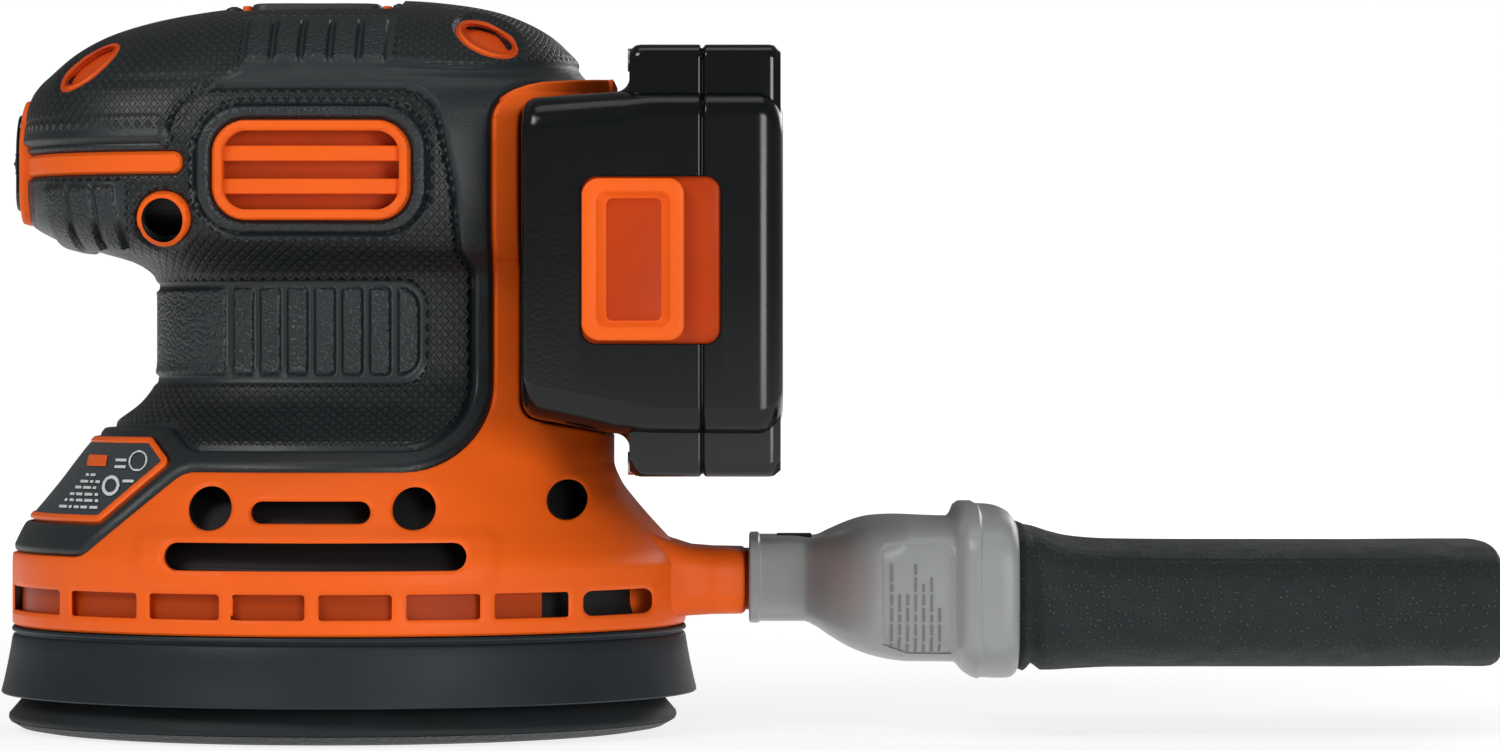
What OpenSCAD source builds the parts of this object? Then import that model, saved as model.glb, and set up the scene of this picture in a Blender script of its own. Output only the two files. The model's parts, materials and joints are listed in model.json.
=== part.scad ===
// Cordless random orbital sander with a palm grip, a sliding battery pack and a dust bag.
// Origin: motor axis at the sanding face of the pad. +Z up the motor axis, +X towards the dust bag.

/* [Sanding pad] */
// Diameter of the sanding pad at its rim
pad_d = 125; // [122:1:126]
// Distance from the motor axis to the pad's own axis
orbit_r = 1.2; // [0.8:0.1:1.6]
// Number of dust holes in the pad
dust_holes = 8; // [6:1:8]
// Radius of each dust hole
dust_hole_r = 5; // [4:0.5:5]
// Pitch circle diameter of the dust holes
dust_pcd = 65; // [62:1:68]

/* [Base and skirt] */
// Outer diameter of the base ring
base_d = 126; // [126:0.5:128]
// Lower edge of the base ring above the sanding face
base_z = 19.5; // [19.5:0.5:20]
// Largest diameter of the rubber skirt, at its lower lip
skirt_d = 130.2; // [130:0.2:134]
// Distance from one window rib to the next round the base
rib_pitch = 15.5; // [15.5:0.1:15.6]
// Width of a window rib
rib_w = 2.5; // [2:0.1:3]

/* [Housing and grip] */
// Thickness of the soft overmould
grip_t = 1.6; // [1.2:0.1:1.8]
// Thickness of the hard shell
wall_t = 2.6; // [2.2:0.1:2.8]
// Number of points round one section of the body
body_fn = 36; // [32:4:48]

/* [Battery pack] */
// Length of the pack along its slide
pack_l = 112; // [110:1:114]
// Height of the pack over its cell ends
pack_h = 77.5; // [77:0.5:78]
// Diameter of one cell
cell_d = 18.2; // [18:0.1:18.4]
// Length of one cell
cell_l = 65; // [64:0.5:66]

/* [Dust port and bag] */
// Height of the outlet spigot
spigot_h = 11; // [10.6:0.1:11]
// Width of the outlet spigot
spigot_w = 26.6; // [26:0.1:26.6]
// Height of the bag
bag_h = 23.8; // [23:0.2:24]
// Width of the bag
bag_w = 74; // [72:1:75]
// Far end of the bag from the motor axis
bag_end = 213; // [190:1:220]

/* [Hidden] */
$fn = 64;

orange = "#f0601a";
dark_orange = "#c8401a";
soft_black = "#2a3033";
gloss_black = "#101416";
steel = "#b8bcc0";
copper = "#b87333";
clear_grey = "#a8aaaa";
far = 90;               // reach of a cutter past the body
gap = 0.15;             // running clearance

// ---------- the body's sections ----------
// height, front, back, half width, squareness of the section
base_r = base_d / 2;
base_top = 32;
body_sections = [
    [base_top, -62.9, 62.9, 62.9, 2],
    [35.0, -62.4, 61.6, 61.6, 2],
    [38.8, -60.2, 58.0, 58.4, 2],
    [42.5, -57.2, 54.8, 55.4, 2],
    [46.3, -54.0, 52.0, 52.2, 2],
    [50.0, -51.2, 50.4, 48.0, 2.05],
    [53.8, -48.2, 50.0, 43.0, 2.1],
    [57.6, -43.4, 50.0, 37.6, 2.2],
    [61.3, -38.6, 50.0, 33.2, 2.3],
    [65.0, -36.2, 50.0, 31.0, 2.4],
    [69.0, -35.6, 50.0, 30.4, 2.4],
    [80.0, -35.6, 50.0, 30.4, 2.4],
    [84.0, -36.4, 50.0, 31.4, 2.45],
    [86.5, -39.4, 50.0, 33.6, 2.5],
    [89.0, -48.0, 50.0, 36.6, 2.55],
    [91.6, -56.2, 50.0, 38.4, 2.6],
    [94.6, -59.4, 50.0, 39.4, 2.65],
    [100.0, -60.0, 50.0, 40.0, 2.7],
    [108.0, -60.0, 50.0, 40.0, 2.7],
    [114.0, -59.5, 50.0, 39.0, 2.7],
    [117.6, -58.6, 50.0, 37.6, 2.7],
    [120.2, -57.4, 50.0, 35.9, 2.6],
    [120.8, -57.1, 44.6, 35.5, 2.6],
    [125.2, -52.9, 41.4, 30.6, 2.5],
    [129.0, -46.7, 38.0, 24.6, 2.4],
    [131.8, -37.0, 32.0, 17.6, 2.3],
    [133.6, -24.0, 22.0, 10.0, 2.2]];
top_z = 133.6;

function sgn_pow(v, p) = sign(v) * pow(abs(v), p);
function section_ring(front, back, half, z, n) = [for (i = [0 : body_fn - 1])
    let (a = 360 * i / body_fn)
    [(front + back) / 2 + (back - front) / 2 * sgn_pow(cos(a), 2 / n),
     half * sgn_pow(sin(a), 2 / n), z]];
// The same section moved inwards by d along the body's outline in side view.
function moved(s, i, d) =
    let (a = s[max(i - 1, 0)], b = s[min(i + 1, len(s) - 1)],
         run = norm([b[3] - a[3], b[0] - a[0]]),
         dz = (b[0] - a[0]) / run, dw = (b[3] - a[3]) / run)
    [s[i][0] + d * dw, s[i][1] + d * dz, s[i][2] - d * dz, s[i][3] - d * dz, s[i][4]];
function loft_faces(rings, n) = concat(
    [[for (j = [0 : n - 1]) j]],
    [[for (j = [n - 1 : -1 : 0]) (rings - 1) * n + j]],
    [for (i = [0 : rings - 2]) for (j = [0 : n - 1])
        each [[i * n + j, (i + 1) * n + j, (i + 1) * n + (j + 1) % n],
              [i * n + j, (i + 1) * n + (j + 1) % n, i * n + (j + 1) % n]]]);
module body_loft(d = 0, low = 0, high = 200) {
    s = [for (i = [0 : len(body_sections) - 1]) moved(body_sections, i, d)];
    rising = [for (i = [0 : len(s) - 1]) if (i == 0 || s[i][0] > s[max(i - 1, 0)][0] + 0.3) s[i]];
    used = [for (k = rising) if (k[0] >= low && k[0] <= high) k];
    polyhedron([for (k = used) each section_ring(k[1], k[2], k[3], k[0], k[4])],
        loft_faces(len(used), body_fn), convexity = 6);
}
// A flat shape in the side view, run through the body from one Y to another.
module side_cut(y0 = -far, y1 = far)
    translate([0, y1, 0]) rotate([90, 0, 0]) linear_extrude(y1 - y0) children();
module half_space(side) translate([-far * 2, side < 0 ? -far : 0, -1]) cube([far * 4, far, far * 2]);
module rounded(x0, x1, z0, z1, r) {
    translate([x0 + r, z0]) square([x1 - x0 - 2 * r, z1 - z0]);
    translate([x0, z0 + r]) square([x1 - x0, z1 - z0 - 2 * r]);
    for (x = [x0 + r, x1 - r], z = [z0 + r, z1 - r]) translate([x, z]) circle(r);
}

// ---------- outlines in the side view ----------
grip_back = 28.6;        // rear edge of the overmould
grip_foot = 49.4;        // lower edge of the overmould beside the vents
vent = [-22.9, 13.6, 94.3, 112.6];
vent_r = 6;
louvre_x = [-20.2, 11.2];
louvre_z = [[96.1, 98.7], [101.7, 104.8], [107.7, 110.3]];
stripe = [-70, -28.7, 103.3, 107.1];
label_pts = [[-75, 39.3], [-46, 39.3], [-30.5, 50.2], [-34.5, 54.4], [-75, 54.4]];
// x, z and radius of each screw well, lower three first
wells = [[-21.5, 42.3, 4.2], [15.4, 42.3, 4.2], [42, 43.5, 3.6],
    [-32.4, 94.3, 3.9], [-46.5, 121.4, 3], [26.8, 125.2, 3]];
well_y = 22;             // depth of the screw heads from the middle plane
module grip_zone() difference() {
    offset(r = 3, $fn = 24) offset(r = -6, $fn = 24) offset(r = 3, $fn = 24)
        polygon([[-75, base_top], [-56, base_top], [-47, 33.4], [-27.5, grip_foot - 0.8],
            [-24, grip_foot], [12, grip_foot], [20, grip_foot + 2], [26.4, 58], [grip_back, 66],
            [grip_back, 115], [33, 118.2], [47, 121.6], [47, 150], [-75, 150]]);
    rounded(vent[0], vent[1], vent[2], vent[3], vent_r);
    rounded(stripe[0], stripe[1], stripe[2], stripe[3], 1.8);
    for (w = [for (i = [3 : 5]) wells[i]]) translate([w[0], w[1]]) circle(w[2] + 1.4, $fn = 32);
}
module louvres() for (z = louvre_z) rounded(louvre_x[0], louvre_x[1], z[0], z[1], 1.2);
window_z = [22.4, 27];
rib_x = [for (i = [-3 : 3]) -2.6 + rib_pitch * i];
module base_windows(y0, y1) side_cut(y0, y1) {
    rounded(-base_r - 3, rib_x[0] - rib_w / 2, window_z[0], window_z[1], 0.8);
    for (i = [0 : 5])
        rounded(rib_x[i] + rib_w / 2, rib_x[i + 1] - rib_w / 2, window_z[0], window_z[1], 0.8);
    rounded(rib_x[6] + rib_w / 2, 57.4, window_z[0], window_z[1], 1.8);
}
module cone_slots() {
    rounded(-13.6, 7.7, 39.9, 44, 2);
    rounded(-30.1, 24.4, 30.9, 36.2, 2.6);
}

// ---------- the dust port ----------
port_z = 27.8;
spout_x = 74.2;          // end of the housing's outlet
spigot_x = 84;           // end of the shroud's outlet
spout_w = 30;
spout_h = 12.6;
module oval(w, h) { r = h / 2; square([w - h, h], center = true);
    for (s = [-1, 1]) translate([s * (w / 2 - r), 0]) circle(r); }
module port(x0, x1, w, h) translate([x0, 0, port_z]) rotate([90, 0, 90]) linear_extrude(x1 - x0)
    oval(w, h);

// ---------- housing ----------
dock = [30.4, 55, 120];  // front face and the two heights of the battery pocket
cavity_back = 37.6;      // rear end of the hollow in the head
cradle_z = [56, 88];
cradle_t = 2.5;
motor_r = 22;
switch_z = 105.5;
switch_half = [6.9, 7.1];
module battery_pocket() side_cut() translate([dock[0], dock[1]]) square([60, dock[2] - dock[1]]);
// What the overmould takes from the hard parts under it.
module grip_layer() difference() {
    side_cut() grip_zone();
    body_loft(grip_t);
}
module cavity() {
    difference() {
        body_loft(grip_t + wall_t);
        translate([cavity_back, -far, 100]) cube(far * 2);
    }
    translate([0, 0, base_z - 1]) cylinder(h = base_top - base_z + 3, r = base_r - wall_t);
}
module shell() difference() {
    union() {
        body_loft();
        translate([0, 0, base_z]) cylinder(h = base_top - base_z, r = base_r);
        port(50, spout_x, spout_w, spout_h);
    }
    grip_layer();
    cavity();
}
// Ribs that hold the motor and posts round the screws, all ending inside the wall.
module inner_frame(side) intersection() {
    body_loft(grip_t + 0.6);
    union() {
        difference() {
            for (z = cradle_z) translate([-far, -far, z]) cube([far + 23, 2 * far, cradle_t]);
            cylinder(h = far * 2, r = motor_r + 0.05);
        }
        for (w = wells) side_cut() translate([w[0], w[1]]) circle(w[2] + 1.2);
    }
    half_space(side);
}
module well_bores(side) for (w = wells) {
    if (side < 0) side_cut(-far, -well_y) translate([w[0], w[1]]) circle(w[2], $fn = 32);
    side_cut(-well_y - 1, 14) translate([w[0], w[1]]) circle(1.5, $fn = 24);
}
module switch_hole(d) translate([-80, -switch_half[0] - d, switch_z - switch_half[1] - d])
    cube([30, 2 * (switch_half[0] + d), 2 * (switch_half[1] + d)]);
module housing_half(side) color(orange) difference() {
    union() {
        intersection() { shell(); half_space(side); }
        inner_frame(side);
    }
    well_bores(side);
    battery_pocket();
    side_cut() louvres();
    side_cut() cone_slots();
    base_windows(-far, -12);
    base_windows(12, far);
    port(40, spout_x + 1, spigot_w + 2 * gap, spigot_h + 2 * gap);
    switch_hole(0.2);
    translate([0, 0, 34.3]) cylinder(h = 2.4, r = 58, $fn = 96);
    cylinder(h = 34.5, r = 57.2, $fn = 96);
}
module housing_left() housing_half(-1);
module housing_right() housing_half(1);

// ---------- overmould, label, badge ----------
label_t = 1;
module label_shape() side_cut() offset(r = 2, $fn = 20) offset(r = -2) polygon(label_pts);
module grip_half(side) color(soft_black) difference() {
    intersection() {
        difference() { body_loft(); body_loft(grip_t); }
        side_cut() grip_zone();
        half_space(side);
    }
    intersection() {
        difference() { body_loft(-1, 30, 62); body_loft(label_t, 28, 64); }
        label_shape();
    }
    switch_hole(0.2);
}
module grip_left() grip_half(-1);
module grip_right() grip_half(1);
module label_plate() color("#3c4448") intersection() {
    difference() { body_loft(0, 30, 62); body_loft(label_t, 28, 64); }
    label_shape();
    translate([-far, -far, 30]) cube([far - 20, 2 * far, 40]);
}
badge = [-17.7, 6.4, 11, 2.5];   // two ends, half width, thickness
module palm_badge() color(soft_black) translate([0, 0, top_z]) difference() {
    linear_extrude(badge[3]) rounded(badge[0], badge[1], -badge[2], badge[2], 3);
    for (x = [-12.5, -1.5]) translate([x, 0, badge[3] - 0.6]) linear_extrude(1)
        rounded(-3.6, 3.6, -7.5, 7.5, 1.5);
}

// ---------- switch ----------
plate_t = 1.4;
module switch_plate() color(orange) difference() {
    intersection() {
        difference() { body_loft(-plate_t, 85, 126); body_loft(0, 80, 130); }
        translate([-80, 0, 0]) rotate([90, 0, 90]) linear_extrude(40)
            rounded(-13.5, 13.5, 94.8, 116.2, 4);
    }
    switch_hole(0);
}
rocker_x = -57.5;
rocker_r = 5.1;
module switch_body() color(gloss_black) difference() {
    union() {
        translate([-61.4, -6.8, switch_z - 7]) cube([17.4, 13.6, 14]);
        translate([-62.1, 0, switch_z]) rotate([90, 0, 90]) linear_extrude(0.7)
            rounded(-10, 10, -8.7, 8.7, 3);
        for (y = [-4, 4]) translate([-44, y - 0.4, switch_z - 3]) cube([6, 0.8, 6]);
    }
    translate([-70, -5.1, switch_z - 5.4]) cube([18, 10.2, 10.8]);
}
module switch_rocker() color(gloss_black) translate([rocker_x, 0, switch_z]) {
    rotate([90, 0, 0]) cylinder(h = 9.8, r = rocker_r, center = true);
    translate([-rocker_r - 0.5, -3, -1.6]) cube([1, 6, 3.2]);
}

// ---------- battery dock ----------
dock_plate = 3;
dock_lip = 49.6;
lip_t = 2;
rail = [43.2, 46.8, 3.2];        // two edges and height of a rail
module dock_profile() {
    translate([dock[0], dock[1]]) square([dock_plate, dock[2] - dock[1]]);
    for (z = [dock[1], dock[2] - lip_t]) translate([dock[0], z]) square([dock_lip - dock[0], lip_t]);
    translate([rail[0], dock[1] + lip_t - 0.1]) square([rail[1] - rail[0], rail[2] + 0.1]);
    translate([rail[0], dock[2] - lip_t - rail[2]]) square([rail[1] - rail[0], rail[2] + 0.1]);
}
block_half = 9;          // half width of the terminal block where it passes through the dock
block_z = 76;
block_h = 20;
block_front = 25;
module battery_dock() color(orange) difference() {
    intersection() {
        body_loft(0, 50, 124);
        side_cut() dock_profile();
    }
    grip_layer();
    translate([dock[0] - 10, -block_half, block_z]) cube([20, 2 * block_half, block_h]);
}
blade_z = [80, 84, 88, 92];
blade_tip = 41.5;
module terminal_block() color(gloss_black) {
    translate([block_front, -block_half, block_z]) cube([9, 2 * block_half, block_h]);
    translate([block_front, -block_half - 3, block_z - 2])
        cube([dock[0] - block_front, 2 * block_half + 6, block_h + 4]);
}
module terminal_blades() color(copper) for (z = blade_z) translate([block_front + 9, -8, z - 0.4])
    cube([blade_tip - block_front - 9, 16, 0.8]);

// ---------- wiring ----------
wire_r = 1.1;
// Terminal block to switch, switch to motor, and terminal block to motor.
wires = [
    [[26, -5, 99.2], [22, -6, 106], [6, -7, 110], [-18, -7, 110], [-34, -5, 106], [-36.6, -4, 103]],
    [[-36.6, 4, 103], [-32, 6, 108], [-20, 8, 109], [-13, 8, 106], [-12, 8, 102.4]],
    [[26, 5, 99.2], [23, 7, 106], [18, 8, 108], [13, 8, 106], [12, 8, 102.4]]];
module lead_wires() for (i = [0 : 2]) color(i == 1 ? "firebrick" : "black")
    for (j = [0 : len(wires[i]) - 2]) hull() for (k = [0, 1]) translate(wires[i][j + k])
        sphere(wire_r, $fn = 10);

// ---------- fasteners ----------
module screw(head_r, head_h, shank_r, length) {
    difference() {
        cylinder(h = head_h, r = head_r, $fn = 32);
        for (a = [0, 90]) rotate(a) translate([-head_r * 0.55, -0.4, -1]) cube([head_r * 1.1, 0.8, 1.9]);
    }
    translate([0, 0, head_h]) cylinder(h = length, r = shank_r, $fn = 32);
}
module housing_screws() color(steel) for (w = wells) translate([w[0], -well_y - 2, w[1]])
    rotate([-90, 0, 0]) screw(2.6, 2, 1.45, 30);

// ---------- fan chamber ----------
shroud_r = 57;
shroud_t = 2.5;
shroud_top = 34.5;
shroud_low = 20.5;
fan_eye = 14;            // radius of the air inlet in the shroud's roof
module fan_shroud() color(dark_orange) difference() {
    union() {
        translate([0, 0, shroud_low]) cylinder(h = shroud_top - shroud_low, r = shroud_r);
        translate([0, 0, shroud_top]) cylinder(h = 1.8, r = shroud_r);
        port(40, spigot_x, spigot_w, spigot_h);
    }
    translate([0, 0, 19]) cylinder(h = shroud_top - 19, r = shroud_r - shroud_t);
    cylinder(h = far, r = fan_eye);
    port(39, spigot_x + 1, spigot_w - 3, spigot_h - 3);
}
module dust_skirt() color("#262c30") rotate_extrude() polygon([
    [base_r - 2.4, base_z], [base_r - 0.1, base_z], [base_r - 0.1, 17.9], [base_r - 0.6, 17.6],
    [base_r, 17.2], [skirt_d / 2 - 0.7, 9], [skirt_d / 2, 7], [skirt_d / 2 - 1.2, 6.8],
    [skirt_d / 2 - 2.2, 9], [base_r - 2.1, 17.4], [base_r - 2.4, 18]]);

// ---------- motor ----------
motor_z = [48.2, 97];
cap_top = 101;
stack_z = [58, 86];      // the two ends of the armature's core
brush_z = 94;
slot_angles = [0 : 30 : 330];
module ring(r0, r1, z0, z1) translate([0, 0, z0]) difference() {
    cylinder(h = z1 - z0, r = r1);
    translate([0, 0, -1]) cylinder(h = z1 - z0 + 2, r = r0);
}
module motor_can() color(steel) {
    ring(20.5, motor_r, motor_z[0], motor_z[1]);
    ring(7, 21, motor_z[0], motor_z[0] + 2);
}
module motor_magnets() color("#303030") for (a = [0, 180]) rotate(a)
    translate([0, 0, 55]) rotate_extrude(angle = 130, start = -65) translate([17.6, 0])
        square([2.9, 34]);
module motor_end_cap() color("#d8d4c8") {
    ring(6, motor_r, motor_z[1], cap_top);
    for (s = [-1, 1]) translate([s * 13.5, 0, brush_z]) difference() {
        cube([11, 8.4, 6.1], center = true);
        cube([12, 6.4, 5], center = true);
    }
}
module motor_brushes() color("#202020") for (s = [-1, 1]) translate([s * 11.4, 0, brush_z])
    cube([9.4, 6.3, 4.9], center = true);
shaft_r = 2.5;
module bearing_upper() color(steel) ring(shaft_r + 0.03, 6, cap_top - 3.6, cap_top);
module bearing_lower() color(steel) ring(shaft_r + 0.03, 7, motor_z[0], 53.2);
module motor_shaft() color(steel) translate([0, 0, 29]) cylinder(h = 74.5, r = shaft_r);
module armature_core() color("#8a8a8a") difference() {
    ring(shaft_r, 16.8, stack_z[0], stack_z[1]);
    for (a = slot_angles) rotate(a) translate([13, -0.8, 57]) cube([6, 1.6, 30]);
}
module armature_windings() color(copper) {
    ring(5, 14.4, stack_z[0] - 3.6, stack_z[0]);
    ring(7.4, 14.4, stack_z[1], stack_z[1] + 3.4);
}
module commutator() color(copper) difference() {
    ring(shaft_r, 6.6, stack_z[1], motor_z[1] - 0.1);
    for (a = slot_angles) rotate(a) translate([6, -0.3, 90]) cube([2, 0.6, 8]);
}

// ---------- fan, counterweight and eccentric ----------
bearing_r = 14;
bearing_z = [15.5, 23.5];
module on_pad_axis() translate([-orbit_r, 0, 0]) children();
module fan() color("#2c2c2c") difference() {
    union() {
        translate([0, 0, 15.2]) cylinder(h = 13.8, r = 18);
        translate([0, 0, 29]) cylinder(h = 5, r = 8);
        translate([0, 0, 25]) cylinder(h = 2, r = 46);
        for (i = [0 : 8]) rotate(40 * i) translate([16.5, 6, 16.5]) rotate(18)
            cube([28, 1.8, 8.6]);
        for (i = [0 : 4]) rotate(100 + 40 * i) translate([17, 3, 26.9]) cube([23, 1.6, 4.6]);
    }
    on_pad_axis() translate([0, 0, 15]) cylinder(h = bearing_z[1] - 15, r = bearing_r);
    on_pad_axis() translate([0, 0, 15]) cylinder(h = 13.2, r = 10.5);
    translate([0, 0, 20]) cylinder(h = 20, r = shaft_r);
}
module counterweight() color("#7c7f82") translate([0, 0, 27]) rotate_extrude(angle = 90, start = -45)
    translate([29, 0]) square([15, 5]);
module pad_bearing_outer() color(steel) on_pad_axis() ring(11.7, bearing_r, bearing_z[0], bearing_z[1]);
module pad_bearing_inner() color(steel) on_pad_axis() ring(6, 8.3, bearing_z[0], bearing_z[1]);
module pad_bearing_balls() color("#e0e0e0") on_pad_axis() for (i = [0 : 7]) rotate(45 * i)
    translate([10, 0, (bearing_z[0] + bearing_z[1]) / 2]) sphere(1.65, $fn = 32);

// ---------- sanding pad ----------
hook_t = 1.7;
foam_z = [hook_t, 8];
plate_z = [8, 10.6];
bolt_circle = 10.3;      // radius on which the four pad screws sit
module at_bolts() for (a = [45 : 90 : 315]) rotate(a) translate([bolt_circle, 0, 0]) children();
module pad_spindle() color(steel) on_pad_axis() difference() {
    union() {
        translate([0, 0, 12.8]) cylinder(h = 2, r = 13);
        translate([0, 0, 14.8]) cylinder(h = bearing_z[0] - 14.8, r = 8);
        translate([0, 0, bearing_z[0]]) cylinder(h = 8, r = 6);
    }
    translate([0, 0, 11]) cylinder(h = 20, r = 2);
    at_bolts() translate([0, 0, 10]) cylinder(h = 8, r = 1.6);
}
module spindle_screw() color(steel) on_pad_axis() {
    translate([0, 0, bearing_z[1]]) cylinder(h = 1, r = 8);
    translate([0, 0, bearing_z[1] + 1]) cylinder(h = 2.6, r = 4, $fn = 6);
    translate([0, 0, 13.4]) cylinder(h = bearing_z[1] - 13.3, r = 2);
}
module dust_hole_cut(r) for (i = [0 : dust_holes - 1]) rotate(360 / dust_holes * (i + 0.5))
    translate([dust_pcd / 2, 0, -1]) cylinder(h = 40, r = r);
module pad_plate() color("#3a3a3a") on_pad_axis() difference() {
    union() {
        translate([0, 0, plate_z[0]]) cylinder(h = plate_z[1] - plate_z[0], r = 55);
        translate([0, 0, plate_z[1] - 0.1]) cylinder(h = 2.3, r = 17);
    }
    dust_hole_cut(dust_hole_r);
    at_bolts() cylinder(h = 20, r = 1.6);
    at_bolts() cylinder(h = 10.3, r = 3);
}
module pad_screws() color(steel) on_pad_axis() at_bolts() translate([0, 0, 8.3]) screw(2.9, 2, 1.6, 4.4);
module pad_foam() color("#23282b") on_pad_axis() difference() {
    rotate_extrude() polygon([[0, foam_z[0]], [pad_d / 2 - 0.2, foam_z[0]], [pad_d / 2, foam_z[0] + 0.4],
        [pad_d / 2, foam_z[0] + 1], [pad_d / 2 - 2.6, 5.9], [pad_d / 2 - 5, foam_z[1]], [0, foam_z[1]]]);
    dust_hole_cut(dust_hole_r);
    translate([0, 0, 4]) cylinder(h = 5, r = 14.5);
}
module hook_face() color("#30363a") on_pad_axis() difference() {
    rotate_extrude() polygon([[0, 0], [pad_d / 2 - 5.3, 0], [pad_d / 2 - 2.4, 0.5],
        [pad_d / 2 - 0.3, hook_t], [0, hook_t]]);
    dust_hole_cut(dust_hole_r);
}

// ---------- battery pack ----------
pack_y = pack_l / 2;
pack_mid = 86.5;                 // height of the pack's middle
pack_low = pack_mid - pack_h / 2;
pack_top = pack_mid + pack_h / 2;
pack_x = [34.2, 53, 81];         // rail face, step to the cell ends, outer face
pack_rail_z = [58.2, 116.8];
pack_seam = 66.6;
pack_wall = 2.4;
end_wall = 4.5;
module pack_outline() {
    rounded(pack_x[0], pack_x[2] - 4, pack_rail_z[0], pack_rail_z[1], 4);
    rounded(pack_x[1], pack_x[2], pack_low, pack_top, 3);
}
opening = [45.2, 70, 71.5, 101.2];
latch_y = [20, 26];              // the latch hook's two sides, from the middle plane
module pack_hollow() {
    side_cut(-pack_y + pack_wall, pack_y - pack_wall) translate([43, 69]) square([36, 36]);
    side_cut(-pack_y + pack_wall, pack_y - pack_wall) translate([55.4, pack_low + end_wall])
        square([pack_x[2] - pack_wall - 55.4, pack_h - 2 * end_wall]);
}
screw_y = 40;
module at_pack_screws() for (y = [-screw_y, screw_y], z = [pack_low + 2.25, pack_top - 2.25])
    translate([pack_x[1], y, z]) rotate([0, 90, 0]) children();
module pack_shell() difference() {
    side_cut(-pack_y, pack_y) pack_outline();
    pack_hollow();
    side_cut(-pack_y - 1, -pack_y + 4) rounded(opening[0], opening[1], opening[2], opening[3], 3);
    for (z = [pack_rail_z[0] - 1, pack_rail_z[1] - 2.5]) translate([rail[0] - 0.4, -far, z])
        cube([rail[1] - rail[0] + 0.8, 2 * far, 3.5]);
    for (z = blade_z) translate([33, -12, z - 0.9]) cube([11, far, 1.8]);
    translate([33, -latch_y[1] - 0.5, 81.6]) cube([11, latch_y[1] - latch_y[0] + 1, 10.8]);
    at_pack_screws() { translate([0, 0, -1]) cylinder(h = 3, r = 2.1); cylinder(h = 21, r = 1.25); }
}
module seam_side(low, high) translate([low, -far, 0]) cube([high - low, 2 * far, 2 * far]);
module pack_shell_inner() color(gloss_black) {
    intersection() { pack_shell(); seam_side(0, pack_seam); }
    translate([62, -51.6, 50]) cube([2, 6.6, 73]);
}
module pack_shell_outer() color(gloss_black) intersection() { pack_shell(); seam_side(pack_seam, far); }
module pack_cells() color("seagreen") for (i = [-2 : 2])
    translate([67.2, 4.6 + 18.7 * i, pack_mid - cell_l / 2]) cylinder(h = cell_l, r = cell_d / 2);
module pack_carrier() color("#404040") translate([55.6, -44, pack_low + end_wall + 0.2])
    cube([2, 97, pack_h - 2 * end_wall - 0.4]);
module pack_terminals() color(copper) for (z = blade_z) translate([43.4, -10, z - 1.2])
    cube([12.2, 18, 2.4]);
module pack_screws() color(steel) at_pack_screws() screw(2.1, 2, 1.25, 19);

// ---------- release button ----------
module release_button() color(orange) {
    translate([43.6, -53.4, 70.2]) cube([29, 1.5, 32.4]);
    difference() {
        side_cut(-57.4, -53.4) rounded(45.6, 63.2, 72, 100.8, 3);
        side_cut(-58, -54.7) rounded(48.4, 60.4, 75, 98, 1.5);
    }
    translate([44.6, -52, 82]) cube([spring_x[0] - 44.6, 52 - latch_y[0], 10]);
    translate([34.5, -latch_y[1], 82]) cube([spring_x[0] - 34.5, latch_y[1] - latch_y[0], 10]);
}
spring_x = [50.5, 62];
spring_turns = 6;
spring_rings = 72;
spring_sides = 8;
spring_wire = 0.35;
spring_coil = 2.6;
function coil_ring(i) = let (a = 360 * spring_turns * i / spring_rings,
        x = spring_x[0] + spring_wire + (spring_x[1] - spring_x[0] - 2 * spring_wire) * i / spring_rings)
    [for (j = [0 : spring_sides - 1]) let (b = 360 * j / spring_sides, r = spring_coil + spring_wire * cos(b))
        [x + spring_wire * sin(b), -48.8 + r * cos(a), 87 + r * sin(a)]];
module latch_spring() color(steel) polyhedron(
    [for (i = [0 : spring_rings]) each coil_ring(i)],
    loft_faces(spring_rings + 1, spring_sides), convexity = 10);

// ---------- dust bag ----------
// x, half height, half width and middle height of each section
adapter_sections = [[74.9, 7.5, 15.7, 27.8], [85, 7.5, 15.7, 27.8], [87, 8.2, 19, 27.7],
    [90, 9.8, 27, 27.4], [94, 11.4, 32.6, 27], [98.5, 12.7, 35.6, 26.7], [102, 13.2, 36.6, 26.5],
    [113.4, 13.2, 37, 26.3], [114.6, 15.6, 40.4, 26.1], [116, 16.1, 41, 26.1], [122.8, 16.1, 41, 26.1],
    [124, 15.2, 40, 26.1]];
function bag_squareness(x) = x < 86 ? 5 : x < 113.9 ? 3.4 : x < 131 ? 3.8 : 7;
function side_ring(s, d) = [for (i = [0 : body_fn - 1]) let (a = 360 * i / body_fn, n = bag_squareness(s[0]))
    [s[0], (s[2] - d) * sgn_pow(cos(a), 2 / n), s[3] + (s[1] - d) * sgn_pow(sin(a), 2 / n)]];
module side_loft(sections, d) polyhedron([for (s = sections) each side_ring(s, d)],
    loft_faces(len(sections), body_fn), convexity = 6);
adapter_wall = 1.8;
module adapter_inside() {
    side_loft([for (i = [1 : 7]) adapter_sections[i] + [i == 1 ? 1 : 0, 0, 0, 0]], adapter_wall + 0.2);
    side_loft([[113, 13.2, 37, 26.3], [125, 13.2, 37, 26.3]], 0.6);
    port(74, 88, spigot_w + 2 * gap, spigot_h + 2 * gap);
}
module bag_adapter() color(clear_grey) difference() { side_loft(adapter_sections, 0); adapter_inside(); }
bag_z = 23.6;
bag_mouth = [[124.2, 12.9, 36.4, 25.6], [130, 12.7, 36.6, 25.2], [137, bag_h / 2, bag_w / 2, 24.2]];
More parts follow.
